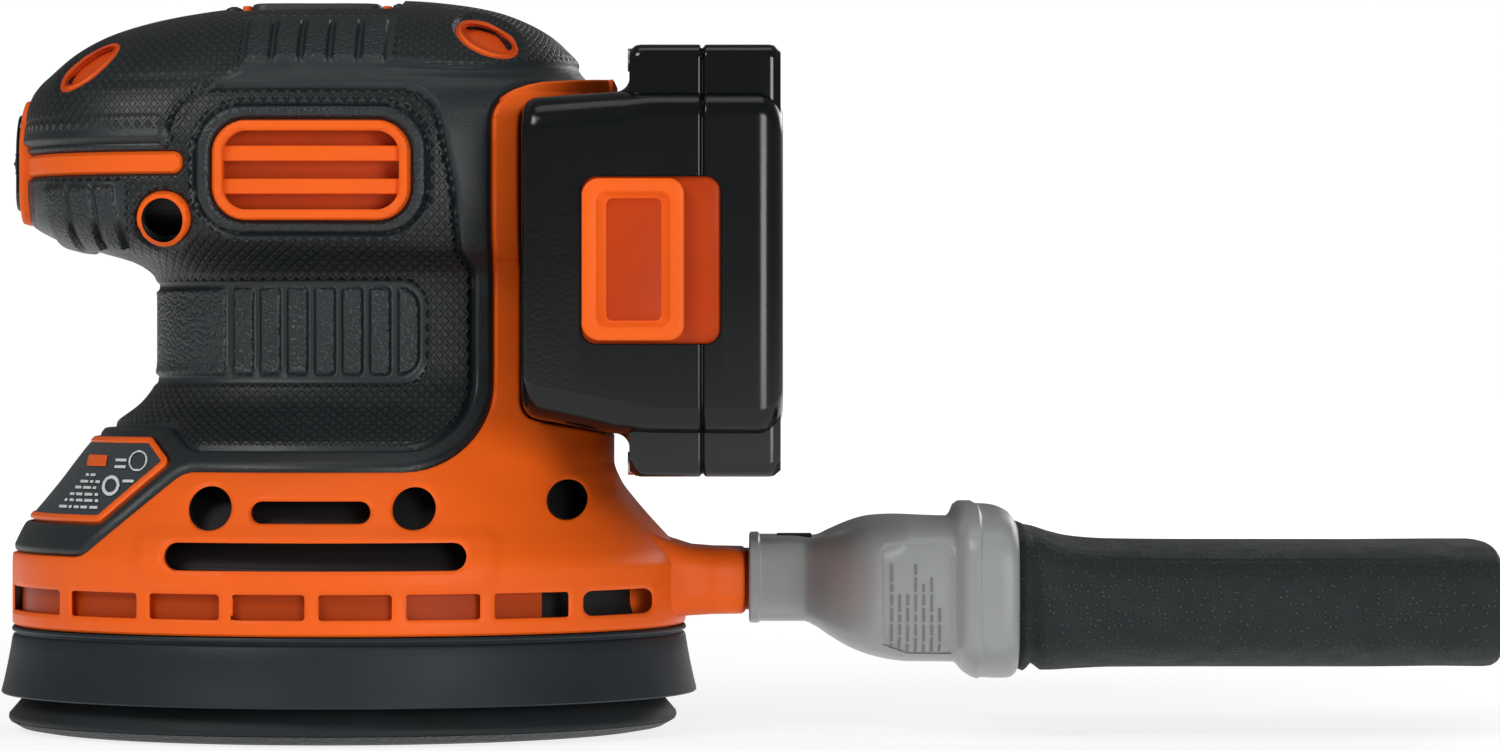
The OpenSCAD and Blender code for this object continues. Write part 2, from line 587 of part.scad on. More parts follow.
bag_sections = concat(bag_mouth, [[146, bag_h / 2, bag_w / 2, bag_z], [205, bag_h / 2, bag_w / 2, bag_z],
    [bag_end - 2, bag_h / 2 - 0.5, bag_w / 2 - 0.8, bag_z], [bag_end, bag_h / 2 - 2.4, bag_w / 2 - 3, bag_z]]);
fabric_t = 1;
module bag_collar() color("#2b2f31") difference() {
    side_loft([[117, 12.9, 36.4, 25.9], [124.2, 12.9, 36.4, 25.6], [130, 12.7, 36.6, 25.2]], 1.2);
    side_loft([[116, 12.9, 36.4, 25.9], [124.2, 12.9, 36.4, 25.6], [131, 12.7, 36.6, 25.2]], 2.8);
}
module dust_bag() color("#1c2124") difference() {
    side_loft(bag_sections, 0);
    side_loft([[124, 12.9, 36.4, 25.6], bag_sections[1], bag_sections[2], bag_sections[3], bag_sections[4],
        [bag_end - 2.5, bag_h / 2 - 1, bag_w / 2 - 2, bag_z]], fabric_t);
}

housing_left();
housing_right();
grip_left();
grip_right();
label_plate();
palm_badge();
switch_plate();
switch_body();
switch_rocker();
battery_dock();
terminal_block();
terminal_blades();
lead_wires();
housing_screws();
fan_shroud();
dust_skirt();
motor_can();
motor_magnets();
motor_end_cap();
motor_brushes();
bearing_upper();
bearing_lower();
motor_shaft();
armature_core();
armature_windings();
commutator();
fan();
counterweight();
pad_bearing_outer();
pad_bearing_balls();
pad_bearing_inner();
pad_spindle();
spindle_screw();
pad_plate();
pad_screws();
pad_foam();
hook_face();
pack_shell_inner();
pack_shell_outer();
pack_cells();
pack_carrier();
pack_terminals();
pack_screws();
release_button();
latch_spring();
bag_adapter();
bag_collar();
dust_bag();
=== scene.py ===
"""A cordless random orbital sander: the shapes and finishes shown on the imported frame.

Lengths in this script are millimetres until a mesh is made. The side view is X to the rear and Z up,
and the left side of the tool is at negative Y.
"""

import json
import math

import bpy
import numpy as np
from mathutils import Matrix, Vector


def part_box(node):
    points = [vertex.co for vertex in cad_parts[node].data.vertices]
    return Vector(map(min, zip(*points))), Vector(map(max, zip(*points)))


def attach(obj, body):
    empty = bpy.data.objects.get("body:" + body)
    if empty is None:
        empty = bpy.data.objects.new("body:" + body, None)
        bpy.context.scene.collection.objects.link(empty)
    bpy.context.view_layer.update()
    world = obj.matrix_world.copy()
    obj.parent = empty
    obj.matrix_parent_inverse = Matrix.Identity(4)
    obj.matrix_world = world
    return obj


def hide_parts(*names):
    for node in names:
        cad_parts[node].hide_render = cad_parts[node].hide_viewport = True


MM = 0.001
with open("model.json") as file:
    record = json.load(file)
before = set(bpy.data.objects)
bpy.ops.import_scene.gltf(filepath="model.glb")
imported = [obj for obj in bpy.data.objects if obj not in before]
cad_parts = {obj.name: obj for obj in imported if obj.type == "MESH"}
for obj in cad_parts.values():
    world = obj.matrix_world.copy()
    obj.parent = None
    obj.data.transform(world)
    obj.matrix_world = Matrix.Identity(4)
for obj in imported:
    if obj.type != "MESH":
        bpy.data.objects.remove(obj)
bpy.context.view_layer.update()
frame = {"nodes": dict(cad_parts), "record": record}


def box_mm(node):
    """Lowest and highest corner of a CAD node, in millimetres."""
    low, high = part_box(node)
    return np.array(low) / MM, np.array(high) / MM


# ---------------------------------------------------------------- materials


# places of the colour sockets on a Mix node
MIX_A, MIX_B, MIX_RESULT = 6, 7, 2


class Finish:
    """A node-based material with one Principled shader, built up by the calls below."""

    def __init__(self, name, colour, roughness, **sockets):
        self.name = name
        self.material = bpy.data.materials.new(name + "_finish")
        self.material.use_nodes = True
        self.tree = self.material.node_tree
        self.shader = self.tree.nodes["Principled BSDF"]
        self.colour = colour
        self.shader.inputs["Base Color"].default_value = (*colour, 1)
        self.shader.inputs["Roughness"].default_value = roughness
        self.material.diffuse_color = (*colour, 1)
        for key, value in sockets.items():
            self.shader.inputs[key.replace("_", " ")].default_value = value
        self.height = None

    def node(self, kind, **settings):
        """A new node, with its properties or its sockets set by name."""
        made = self.tree.nodes.new(kind)
        for key, value in settings.items():
            if hasattr(made, key):
                setattr(made, key, value)
            else:
                made.inputs[key.replace("_", " ")].default_value = value
        return made

    def link(self, out, into):
        self.tree.links.new(out, into)

    def place(self):
        """Object coordinates, in metres."""
        return self.node("ShaderNodeTexCoord").outputs["Object"]

    def maths(self, operation, a, b=None):
        """The result of a maths node on numbers or outputs."""
        made = self.node("ShaderNodeMath", operation=operation)
        for socket, value in zip(made.inputs, (a, b)):
            if value is None:
                continue
            if isinstance(value, (int, float)):
                socket.default_value = value
            else:
                self.link(value, socket)
        return made.outputs[0]

    def noise(self, scale, detail=3.0, roughness=0.55):
        made = self.node("ShaderNodeTexNoise", Scale=scale, Detail=detail, Roughness=roughness)
        self.link(self.place(), made.inputs["Vector"])
        return made.outputs["Fac"]

    def mask(self, attribute):
        return self.node("ShaderNodeAttribute", attribute_name=attribute).outputs["Fac"]

    def tint(self, amount, scale=45):
        """Varies the colour by a soft noise, between darker and lighter."""
        shades = self.node("ShaderNodeValToRGB")
        stops = shades.color_ramp.elements
        for stop, place, change in ((stops[0], 0.3, 1 - amount), (stops[1], 0.7, 1 + amount)):
            stop.position = place
            stop.color = (*(min(1, c * change) for c in self.colour), 1)
        self.link(self.noise(scale), shades.inputs["Fac"])
        self.link(shades.outputs["Color"], self.shader.inputs["Base Color"])
        return self

    def sheen_of(self, low, high, scale=60):
        """Varies the roughness between two values."""
        spread = self.node("ShaderNodeMapRange", To_Min=low, To_Max=high, From_Min=0.3, From_Max=0.7)
        self.link(self.noise(scale, 4), spread.inputs["Value"])
        self.link(spread.outputs["Result"], self.shader.inputs["Roughness"])
        return self

    def add_height(self, value, weight):
        """Adds to the heights that bump() turns into relief."""
        weighed = self.maths("MULTIPLY", value, weight)
        self.height = weighed if self.height is None else self.maths("ADD", self.height, weighed)
        return self

    def grain(self, scale, weight, detail=3.0):
        return self.add_height(self.noise(scale, detail), weight)

    def bump(self, distance):
        """Turns the heights added so far into relief, of up to about distance metres."""
        made = self.node("ShaderNodeBump", Distance=distance, Strength=1.0)
        self.link(self.height, made.inputs["Height"])
        self.link(made.outputs["Normal"], self.shader.inputs["Normal"])
        return self


def pebbles(finish, cell, attribute=None, weight=1.0):
    """Rounded leather-like pebbles, cell metres across, where the attribute is 1."""
    cells = finish.node("ShaderNodeTexVoronoi", feature="SMOOTH_F1", Scale=1 / cell)
    finish.link(finish.place(), cells.inputs["Vector"])
    value = finish.maths("SUBTRACT", 1.0, cells.outputs["Distance"])
    if attribute:
        value = finish.maths("MULTIPLY", value, finish.mask(attribute))
    return finish.add_height(value, weight)


def knurl(finish, across, up, attribute, weight):
    """Raised diamonds, on the UV map of the body's surface, with painted shade darkening the grooves between
    them.

    across and up are the diamonds' two repeats, in metres.
    """
    uv = finish.node("ShaderNodeUVMap", uv_map="skin").outputs["UV"]
    parts = finish.node("ShaderNodeSeparateXYZ")
    finish.link(uv, parts.inputs[0])
    sideways = finish.maths("MULTIPLY", parts.outputs[0], 2 * math.pi / across)
    waves = []
    for sign in (1, -1):
        slant = finish.maths("MULTIPLY", parts.outputs[1], sign * 2 * math.pi / up)
        waves.append(finish.maths("SINE", finish.maths("ADD", sideways, slant)))
    lowest = finish.maths("MINIMUM", waves[0], waves[1])
    flat = finish.node("ShaderNodeMapRange", interpolation_type="SMOOTHSTEP", From_Min=-0.75, From_Max=-0.2)
    finish.link(lowest, flat.inputs["Value"])
    value = finish.maths("MULTIPLY", flat.outputs["Result"], finish.mask(attribute))
    between = finish.maths("SUBTRACT", finish.mask(attribute), value)
    # painted shade: the base colour is pulled towards the groove shade colour between the diamonds
    shade = finish.node("ShaderNodeMix", data_type="RGBA")
    finish.link(finish.maths("MULTIPLY", between, 0.7), shade.inputs["Factor"])
    finish.link(finish.shader.inputs["Base Color"].links[0].from_socket, shade.inputs[MIX_A])
    shade.inputs[MIX_B].default_value = (*GROOVE_SHADE, 1)
    finish.link(shade.outputs[MIX_RESULT], finish.shader.inputs["Base Color"])
    return finish.add_height(value, weight)


ORANGE = (0.80, 0.112, 0.0085)
# darker copies of ORANGE that paint shade: the vent's back wall and hollows, the slide's recess and thumb
# pad, the fan shroud and spigot
ORANGE_RECESS_SHADE = (0.56, 0.066, 0.006)
ORANGE_SLIDE_SHADE = (0.44, 0.043, 0.004)
ORANGE_SHROUD_SHADE = (0.34, 0.042, 0.004)
SOFT_BLACK = (0.0088, 0.0128, 0.0146)
# colour of the painted shade in the knurl's grooves
GROOVE_SHADE = (0.001, 0.0014, 0.0016)
GLOSS_BLACK = (0.0026, 0.0036, 0.0042)
PLASTIC_BLACK = (0.02, 0.021, 0.022)
CLEAR_GREY = (0.45, 0.465, 0.465)
CLOTH_DARK, CLOTH_DOT = (0.0135, 0.0178, 0.019), (0.05, 0.062, 0.064)


def orange_finishes():
    """The hard orange plastic, and darker copies of it that paint the shade on recessed and inner parts."""
    yield (Finish("orange_plastic", ORANGE, 0.45, Specular_IOR_Level=0.16)
           .tint(0.04).sheen_of(0.36, 0.5).grain(2600, 0.5).grain(420, 0.35).bump(0.00006))
    yield (Finish("orange_recess_shade", ORANGE_RECESS_SHADE, 0.5, Specular_IOR_Level=0.2)
           .tint(0.12).sheen_of(0.45, 0.6).grain(1800, 0.6).bump(0.00006))
    yield (Finish("orange_slide", ORANGE_SLIDE_SHADE, 0.45, Specular_IOR_Level=0.12)
           .tint(0.06).sheen_of(0.33, 0.45).grain(1800, 0.6).bump(0.00005))
    yield (Finish("orange_shroud", ORANGE_SHROUD_SHADE, 0.5, Specular_IOR_Level=0.1)
           .tint(0.06).sheen_of(0.35, 0.5).grain(1800, 0.6).bump(0.00006))


def soft_finish():
    """Soft black overmould: knurled with painted shade in the grooves, pebbled or plain, as the piece's masks
    say.
    """
    soft = Finish("soft_overmould", SOFT_BLACK, 0.4, Specular_IOR_Level=0.45)
    soft.tint(0.14, 38).sheen_of(0.38, 0.5)
    knurl(soft, 0.0021, 0.0025, "knurled", 1.0)
    pebbles(soft, 0.00062, "pebbled", 0.28)
    return soft.grain(2400, 0.06).bump(0.0011)


def black_finishes():
    """Glossy, grained and plain black plastics, and a near-black sheet that paints the shade inside the shell
    and its openings.
    """
    yield (Finish("gloss_black", GLOSS_BLACK, 0.14, Specular_IOR_Level=0.45)
           .tint(0.15).sheen_of(0.1, 0.17, 30).grain(500, 0.12).bump(0.00003))
    pack = Finish("pack_plastic", GLOSS_BLACK, 0.2, Specular_IOR_Level=0.34)
    pebbles(pack.tint(0.12).sheen_of(0.14, 0.22, 30), 0.0006, "pebbled", 0.12)
    yield pack.grain(500, 0.1).bump(0.00008)
    yield (Finish("black_plastic", PLASTIC_BLACK, 0.45)
           .tint(0.15).sheen_of(0.4, 0.52).grain(1400, 0.5).bump(0.00006))
    # near-black sheet of painted shade, for the inside of the shell, the wells, the shroud's roof and the
    # adapter's slot and core
    yield Finish("liner", (0.004, 0.0042, 0.0045), 0.7).tint(0.2).grain(900, 0.3).bump(0.00005)


def pad_finishes():
    """The skirt's rubber, the pad's foam and its hook face."""
    yield (Finish("skirt_rubber", (0.0092, 0.014, 0.0185), 0.46, Specular_IOR_Level=0.28)
           .tint(0.18, 30).sheen_of(0.42, 0.56, 40).grain(1600, 0.3).grain(160, 0.25).bump(0.00008))
    foam = Finish("foam", (0.009, 0.012, 0.014), 0.6, Specular_IOR_Level=0.3)
    foam.tint(0.2, 60).sheen_of(0.55, 0.7)
    yield pebbles(foam, 0.0009, None, 0.3).grain(2600, 0.4).bump(0.00012)
    hooks = Finish("hook_fabric", (0.013, 0.017, 0.02), 0.8, Sheen_Weight=0.12, Sheen_Roughness=0.6)
    yield pebbles(hooks.tint(0.3, 700), 0.0008, None, 1.0).grain(3200, 0.6).bump(0.0004)


def label_finishes():
    """The label field and the printed marks on it and on the adapter."""
    yield (Finish("label_face", (0.032, 0.04, 0.044), 0.4)
           .tint(0.08).sheen_of(0.36, 0.46).grain(900, 0.3).bump(0.00003))
    yield Finish("label_ink", (0.62, 0.64, 0.64), 0.5).tint(0.06, 300).grain(1200, 0.3).bump(0.00002)
    yield Finish("adapter_ink", (0.13, 0.135, 0.135), 0.5).tint(0.1, 300).grain(1200, 0.3).bump(0.00002)


def clear_finish():
    """Grey translucent plastic."""
    clear = Finish("clear_grey", CLEAR_GREY, 0.36, Transmission_Weight=0.45, IOR=1.42,
                   Subsurface_Weight=0.15, Subsurface_Radius=(0.004, 0.004, 0.004))
    return clear.tint(0.05, 35).sheen_of(0.28, 0.42, 50).grain(900, 0.3).bump(0.00005)


def bag_finish():
    """Dark fabric with a fine pattern of lighter raised dots."""
    bag = Finish("bag_fabric", (0.0085, 0.0115, 0.013), 0.66, Specular_IOR_Level=0.3)
    dots = bag.node("ShaderNodeTexVoronoi", feature="F1", Scale=1 / 0.00125, Randomness=0.7)
    bag.link(bag.place(), dots.inputs["Vector"])
    dot = bag.node("ShaderNodeMapRange", interpolation_type="SMOOTHSTEP", From_Min=0.38, From_Max=0.2)
    bag.link(dots.outputs["Distance"], dot.inputs["Value"])
    fibres = bag.noise(1900, 5, 0.7)
    shade = bag.node("ShaderNodeMix", data_type="RGBA")
    shade.inputs[MIX_A].default_value = (*CLOTH_DARK, 1)
    shade.inputs[MIX_B].default_value = (*CLOTH_DOT, 1)
    bag.link(bag.maths("MULTIPLY", dot.outputs["Result"], fibres), shade.inputs["Factor"])
    bag.link(shade.outputs[MIX_RESULT], bag.shader.inputs["Base Color"])
    bag.add_height(dot.outputs["Result"], 1.0).add_height(fibres, 0.7)
    return bag.sheen_of(0.62, 0.82, 200).bump(0.00038)


def inner_finishes():
    """Metals, and the plastics of the motor and the cells."""
    yield (Finish("steel", (0.5, 0.51, 0.52), 0.3, Metallic=1.0)
           .tint(0.08).sheen_of(0.22, 0.4, 120).grain(1200, 0.3).bump(0.00003))
    yield (Finish("dark_steel", (0.16, 0.16, 0.165), 0.42, Metallic=1.0)
           .tint(0.15).sheen_of(0.35, 0.5).grain(900, 0.4).bump(0.00005))
    yield (Finish("black_screw", (0.05, 0.05, 0.052), 0.4, Metallic=1.0)
           .tint(0.15).sheen_of(0.32, 0.5).grain(900, 0.4).bump(0.00005))
    yield (Finish("copper", (0.62, 0.24, 0.09), 0.32, Metallic=1.0)
           .tint(0.12).sheen_of(0.25, 0.42).grain(1400, 0.5).bump(0.00006))
    yield Finish("cap_plastic", (0.62, 0.58, 0.5), 0.5).tint(0.06).grain(1500, 0.4).bump(0.00005)
    yield Finish("cell_sleeve", (0.03, 0.2, 0.09), 0.35).tint(0.1).grain(1100, 0.3).bump(0.00004)


FINISH = {finish.name: finish.material for finish in (
    *orange_finishes(), soft_finish(), *black_finishes(), *pad_finishes(), *label_finishes(),
    clear_finish(), bag_finish(), *inner_finishes())}
# the finish of each material slot of the CAD record
CAD_FINISH = {
    "orange_plastic": "orange_plastic", "dark_orange_plastic": "orange_shroud",
    "soft_grip": "soft_overmould", "label_face": "label_face", "gloss_black": "gloss_black",
    "skirt_rubber": "skirt_rubber", "foam": "foam", "hook_fabric": "hook_fabric",
    "pad_plastic": "black_plastic", "motor_steel": "steel", "magnet": "dark_steel",
    "core_steel": "dark_steel", "copper": "copper", "carbon": "black_plastic",
    "cap_plastic": "cap_plastic", "fan_plastic": "black_plastic", "weight_metal": "dark_steel",
    "bearing_steel": "steel", "screw_steel": "steel", "wire_jacket": "black_plastic",
    "cell_can": "cell_sleeve", "carrier_plastic": "black_plastic", "clear_grey": "clear_grey",
    "bag_fabric": "bag_fabric",
}


def finish_cad_nodes():
    """Gives every CAD node that stays the finish of its material slot."""
    for part in frame["record"]["subparts"]:
        node = frame["nodes"][part["node"]]
        node.data.materials.clear()
        node.data.materials.append(FINISH[CAD_FINISH[part["material_slot"]]])


# ---------------------------------------------------------------- mesh helpers

SIDES = ("left", "right")


def outward(points, faces):
    """The faces of a closed piece, turned so that they look outwards."""
    volume = 0.0
    for f in faces:
        a, b, c = points[f[0]], points[f[1:-1]], points[f[2:]]
        volume += np.einsum("ij,ij->", np.cross(b, c), np.broadcast_to(a, b.shape))
    return faces if volume >= 0 else [f[::-1] for f in faces]


def make(name, points, faces, finish, body, replaces=(), slot=None, crease=35, mirror=False,
         surface=False):
    """One piece from points in millimetres. It rides on a body and may stand for CAD nodes.

    crease is the angle above which an edge is sharp. surface says that the faces already look the right way.
    """
    points = np.array(points, dtype=float)
    faces = [list(map(int, f)) for f in faces]
    if not surface:
        faces = outward(points, faces)
    if mirror:
        points = points * (1, -1, 1)
        faces = [f[::-1] for f in faces]
    mesh = bpy.data.meshes.new(name)
    mesh.from_pydata((points * MM).tolist(), [], faces)
    mesh.validate()
    mesh.shade_smooth()
    mesh.set_sharp_from_angle(angle=math.radians(crease))
    mesh.materials.append(FINISH[finish])
    piece = bpy.data.objects.new(name, mesh)
    bpy.context.scene.collection.objects.link(piece)
    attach(piece, body)
    if replaces:
        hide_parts(*replaces)
    return piece


def make_loft(name, rings, finish, body="housing", **more):
    """A closed piece through rings of equal length."""
    return make(name, *loft(rings), finish, body, **more)


def make_pair(name, points, faces, finish, body="housing", **more):
    """The same piece on the left side and, mirrored, on the right."""
    for label in SIDES:
        make(f"{name}_{label}", points, faces, finish, body, mirror=label == "right", **more)


def strip_faces(rows, columns, closed=True, start=0):
    """Quads between rows of points. A closed strip joins each row's last point to its first."""
    span = columns if closed else columns - 1
    return [(start + i * columns + j, start + i * columns + (j + 1) % columns,
             start + (i + 1) * columns + (j + 1) % columns, start + (i + 1) * columns + j)
            for i in range(rows - 1) for j in range(span)]


def loft(rings, capped=True):
    """Points and faces of a closed loft through rings of equal length, with flat ends."""
    rings = np.array(rings)
    rows, columns = rings.shape[:2]
    faces = strip_faces(rows, columns)
    if capped:
        faces.append(tuple(range(columns))[::-1])
        faces.append(tuple(range((rows - 1) * columns, rows * columns)))
    return rings.reshape(-1, 3), faces


def rounded_ring(half_w, half_h, radius, count=64):
    """A rounded rectangle about the origin, counter-clockwise, with count points."""
    radius = min(radius, half_w - 1e-3, half_h - 1e-3)
    corner = count // 4
    ring = []
    for k, (sx, sy) in enumerate(((1, 1), (-1, 1), (-1, -1), (1, -1))):
        for i in range(corner):
            a = math.radians(90 * (k + i / (corner - 1)))
            ring.append((sx * (half_w - radius) + radius * math.cos(a),
                         sy * (half_h - radius) + radius * math.sin(a)))
    return np.array(ring)


def lathe(profile, segments, start=0.0, sweep=360.0):
    """Turns a profile of (radius, height) points about the vertical axis, by sweep degrees from start."""
    profile = np.array(profile, dtype=float)
    closed = sweep >= 360
    steps = segments if closed else segments + 1
    angles = np.radians(start + sweep * np.arange(steps) / segments)
    points = np.stack([
        np.outer(np.cos(angles), profile[:, 0]),
        np.outer(np.sin(angles), profile[:, 0]),
        np.tile(profile[:, 1], (steps, 1)),
    ], axis=-1)
    count = len(profile)
    faces = []
    for i in range(steps if closed else steps - 1):
        for j in range(count - 1):
            a, b = i * count + j, ((i + 1) % steps) * count + j
            faces.append((a, b, b + 1, a + 1))
    return points.reshape(-1, 3), faces


def cross_ring(x, middle, half_w, half_h, radius, count):
    """A rounded rectangle that stands across the X axis."""
    return [(x, a, middle + b) for a, b in rounded_ring(half_w, half_h, radius, count)]


def side_ring(y, centre, half_w, half_h, radius, count=48):
    """A rounded rectangle in the side view, at a place along Y."""
    return [(centre[0] + a, y, centre[1] + b) for a, b in rounded_ring(half_w, half_h, radius, count)]


def round_ring(x, z, radius, y, count):
    """A circle in the side view, at a place along Y."""
    xs, zs = oval_ring(x, z, radius, radius, 0, count)
    return np.stack([xs, np.full(count, y), zs], -1)


def drop_unused(count, faces):
    """Which of count points the faces use, and the faces renumbered to those."""
    used = np.unique(np.concatenate([np.array(f) for f in faces]))
    place = np.full(count, -1)
    place[used] = np.arange(len(used))
    return used, [[int(place[v]) for v in f] for f in faces]


def pchip(x, y, at):
    """Smooth interpolation that doesn't overshoot its points."""
    gaps, slopes = np.diff(x), np.diff(y) / np.diff(x)
    tangents = np.concatenate([slopes[:1], np.zeros(len(x) - 2), slopes[-1:]])
    same = slopes[:-1] * slopes[1:] > 0
    w1, w2 = 2 * gaps[1:] + gaps[:-1], gaps[1:] + 2 * gaps[:-1]
    safe = np.where(same, slopes[:-1], 1), np.where(same, slopes[1:], 1)
    tangents[1:-1] = np.where(same, (w1 + w2) / (w1 / safe[0] + w2 / safe[1]), 0)
    i = np.clip(np.searchsorted(x, at) - 1, 0, len(gaps) - 1)
    s = (at - x[i]) / gaps[i]
    return ((1 + 2 * s) * (1 - s) ** 2 * y[i] + s * (1 - s) ** 2 * gaps[i] * tangents[i]
            + s * s * (3 - 2 * s) * y[i + 1] + s * s * (s - 1) * gaps[i] * tangents[i + 1])


# ---------------------------------------------------------------- outlines in the side view


def outline(*corners):
    """A closed outline through (x, z, radius) corners, each rounded by an arc in steps of about 7 degrees."""
    made = []
    count = len(corners)
    for i, (x, z, r) in enumerate(corners):
        here = np.array((x, z), float)
        back = np.array(corners[i - 1][:2], float) - here
        on = np.array(corners[(i + 1) % count][:2], float) - here
        back, on = back / np.linalg.norm(back), on / np.linalg.norm(on)
        turn = math.acos(np.clip(np.dot(back, on), -1, 1))
        if r <= 0 or turn > math.pi - 0.02:
            made.append(here)
            continue
        reach = r / math.tan(turn / 2)
        centre = here + (back + on) / np.linalg.norm(back + on) * r / math.sin(turn / 2)
        a, b = here + back * reach - centre, here + on * reach - centre
        swing = math.acos(np.clip(np.dot(a, b) / r / r, -1, 1))
        pieces = max(2, int(math.degrees(swing) / 7))
        for k in range(pieces + 1):
            s = k / pieces * swing
            made.append(centre + (a * math.sin(swing - s) + b * math.sin(s)) / math.sin(swing))
    return np.array(made)


def away(shape, x, z):
    """Signed distance from an outline: below 0 inside it and above 0 outside."""
    best = np.full(np.shape(x), 1e9)
    crossings = np.zeros(np.shape(x), bool)
    for (ax, az), (bx, bz) in zip(shape, np.roll(shape, -1, axis=0)):
        ex, ez = bx - ax, bz - az
        px, pz = x - ax, z - az
        t = np.clip((px * ex + pz * ez) / (ex * ex + ez * ez + 1e-12), 0, 1)
        best = np.minimum(best, (px - t * ex) ** 2 + (pz - t * ez) ** 2)
        if abs(ez) > 1e-9:
            crossings ^= ((az > z) != (bz > z)) & (px < pz * ex / ez)
    return np.where(crossings, -1, 1) * np.sqrt(best)


def away_box(x, z, x0, x1, z0, z1, r):
    """Signed distance from a rounded rectangle."""
    dx = np.abs(x - (x0 + x1) / 2) - (x1 - x0) / 2 + r
    dz = np.abs(z - (z0 + z1) / 2) - (z1 - z0) / 2 + r
    return np.hypot(np.maximum(dx, 0), np.maximum(dz, 0)) + np.minimum(np.maximum(dx, dz), 0) - r


def away_oval(x, z, cx, cz, a, b, tilt):
    """About the signed distance from a tilted ellipse."""
    c, s = math.cos(math.radians(tilt)), math.sin(math.radians(tilt))
    u, v = (x - cx) * c + (z - cz) * s, -(x - cx) * s + (z - cz) * c
    k1 = np.hypot(u / a, v / b)
    k2 = np.hypot(u / a / a, v / b / b) + 1e-9
    return k1 * (k1 - 1) / k2


def ramp(value, low, high):
    """0 below low, 1 above high, and a smooth step between."""
    t = np.clip((value - low) / (high - low), 0, 1)
    return t * t * (3 - 2 * t)


def groove(distance, width, depth):
    """A rounded groove along the line where distance is 0."""
    return -depth * np.exp(-((distance / width) ** 2))


def from_circle(x, z, circle):
    """Signed distance from a circle given as its centre and radius."""
    return np.hypot(x - circle[0], z - circle[1]) - circle[2]


def rolled(inside, radius, depth):
    """The fall of an edge rounded to a radius, where inside is the distance in from the edge."""
    t = np.clip(1 - inside / radius, 0, 1)
    return -depth * (1 - np.sqrt(np.maximum(0, 1 - t * t)))


# ---------------------------------------------------------------- the body's surface

BASE_R, BASE_Z = 63.0, 19.5
BADGE_SEAT = 132.9
# height, front, back, half width, squareness of the section
SECTIONS = np.array([
    (BASE_Z, -BASE_R, BASE_R, BASE_R, 2), (26.0, -BASE_R, BASE_R, BASE_R, 2),
    (31.0, -BASE_R, BASE_R, BASE_R, 2),
    (32.6, -62.9, 62.3, 62.8, 2), (35.0, -62.0, 60.4, 61.4, 2), (38.8, -60.0, 56.9, 58.2, 2),
    (42.5, -57.0, 53.7, 55.2, 2), (46.3, -53.9, 50.9, 52.0, 2), (50.0, -51.1, 49.6, 47.8, 2.05),
    (53.8, -48.0, 49.6, 42.8, 2.1), (57.6, -43.3, 50.0, 37.4, 2.2), (61.3, -38.6, 50.0, 33.2, 2.3),
    (65.0, -36.2, 50.0, 31.0, 2.4), (69.0, -35.6, 50.0, 30.4, 2.4), (80.0, -35.6, 50.0, 30.4, 2.4),
    (84.0, -36.3, 50.0, 31.3, 2.45), (86.5, -39.2, 50.0, 33.4, 2.5), (89.0, -47.0, 50.0, 36.4, 2.55),
    (91.4, -55.0, 50.0, 38.2, 2.6), (94.6, -59.4, 50.0, 39.4, 2.65), (100.0, -60.0, 50.0, 40.0, 2.7),
    (108.0, -60.0, 50.0, 40.0, 2.7), (114.0, -59.5, 50.0, 39.0, 2.7), (117.6, -58.2, 50.0, 37.6, 2.7),
    (119.4, -57.0, 49.5, 36.5, 2.6), (121.0, -55.3, 44.4, 35.3, 2.6), (125.2, -50.6, 41.2, 30.9, 2.5),
    (128.6, -44.6, 37.6, 25.9, 2.4), (131.6, -34.9, 32.2, 19.4, 2.3), (133.4, -25.0, 27.0, 13.8, 2.2),
    (134.6, -15.5, 20.5, 9.0, 2.1), (135.3, -8.0, 13.5, 4.6, 2), (135.6, -2.5, 6.0, 0.05, 2),
])
RUN = np.concatenate([[0], np.cumsum(np.sqrt(
    np.diff(SECTIONS[:, :4], axis=0) ** 2 @ (1, 1 / 3, 1 / 3, 1 / 3)))])
ROWS, COLUMNS = ((400, 430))


def crown_seat(x, y):
    """Height that the crown is cut down to: BADGE_SEAT under the badge, and out of the way around it."""
    return BADGE_SEAT + 4 * ramp(away_box(x, y, -20.6, 9.2, -14.2, 14.2, 3), 0, 2)


def body_grid():
    """Points of the left side of the body from front to rear, row by row from the base to the crown."""
    at = np.linspace(0, RUN[-1], ROWS)
    z, front, back, half, power = (pchip(RUN, SECTIONS[:, k], at) for k in range(5))
    turn = np.radians(np.linspace(0, 180, 721))
    grid = np.empty((ROWS, COLUMNS, 3))
    for i in range(ROWS):
        c, s = np.cos(turn), np.sin(turn)
        x = (front[i] + back[i]) / 2 - (back[i] - front[i]) / 2 * np.sign(c) * np.abs(c) ** (2 / power[i])
        y = -half[i] * np.abs(s) ** (2 / power[i])
        run = np.concatenate([[0], np.cumsum(np.hypot(np.diff(x), np.diff(y)))])
        even = np.linspace(0, run[-1], COLUMNS)
        grid[i] = np.stack([np.interp(even, run, x), np.interp(even, run, y), np.full(COLUMNS, z[i])], -1)
    grid[:, (0, -1), 1] = 0
    grid[..., 2] = np.minimum(grid[..., 2], crown_seat(grid[..., 0], grid[..., 1]))
    return grid


def normals_of(grid):
    """Outward unit normals at the grid's points, with no slant across the seam."""
    up, along = np.gradient(grid, axis=0), np.gradient(grid, axis=1)
    normal = np.cross(along, up)
    normal[:, (0, -1), 1] = 0
    return normal / (np.linalg.norm(normal, axis=-1, keepdims=True) + 1e-9)


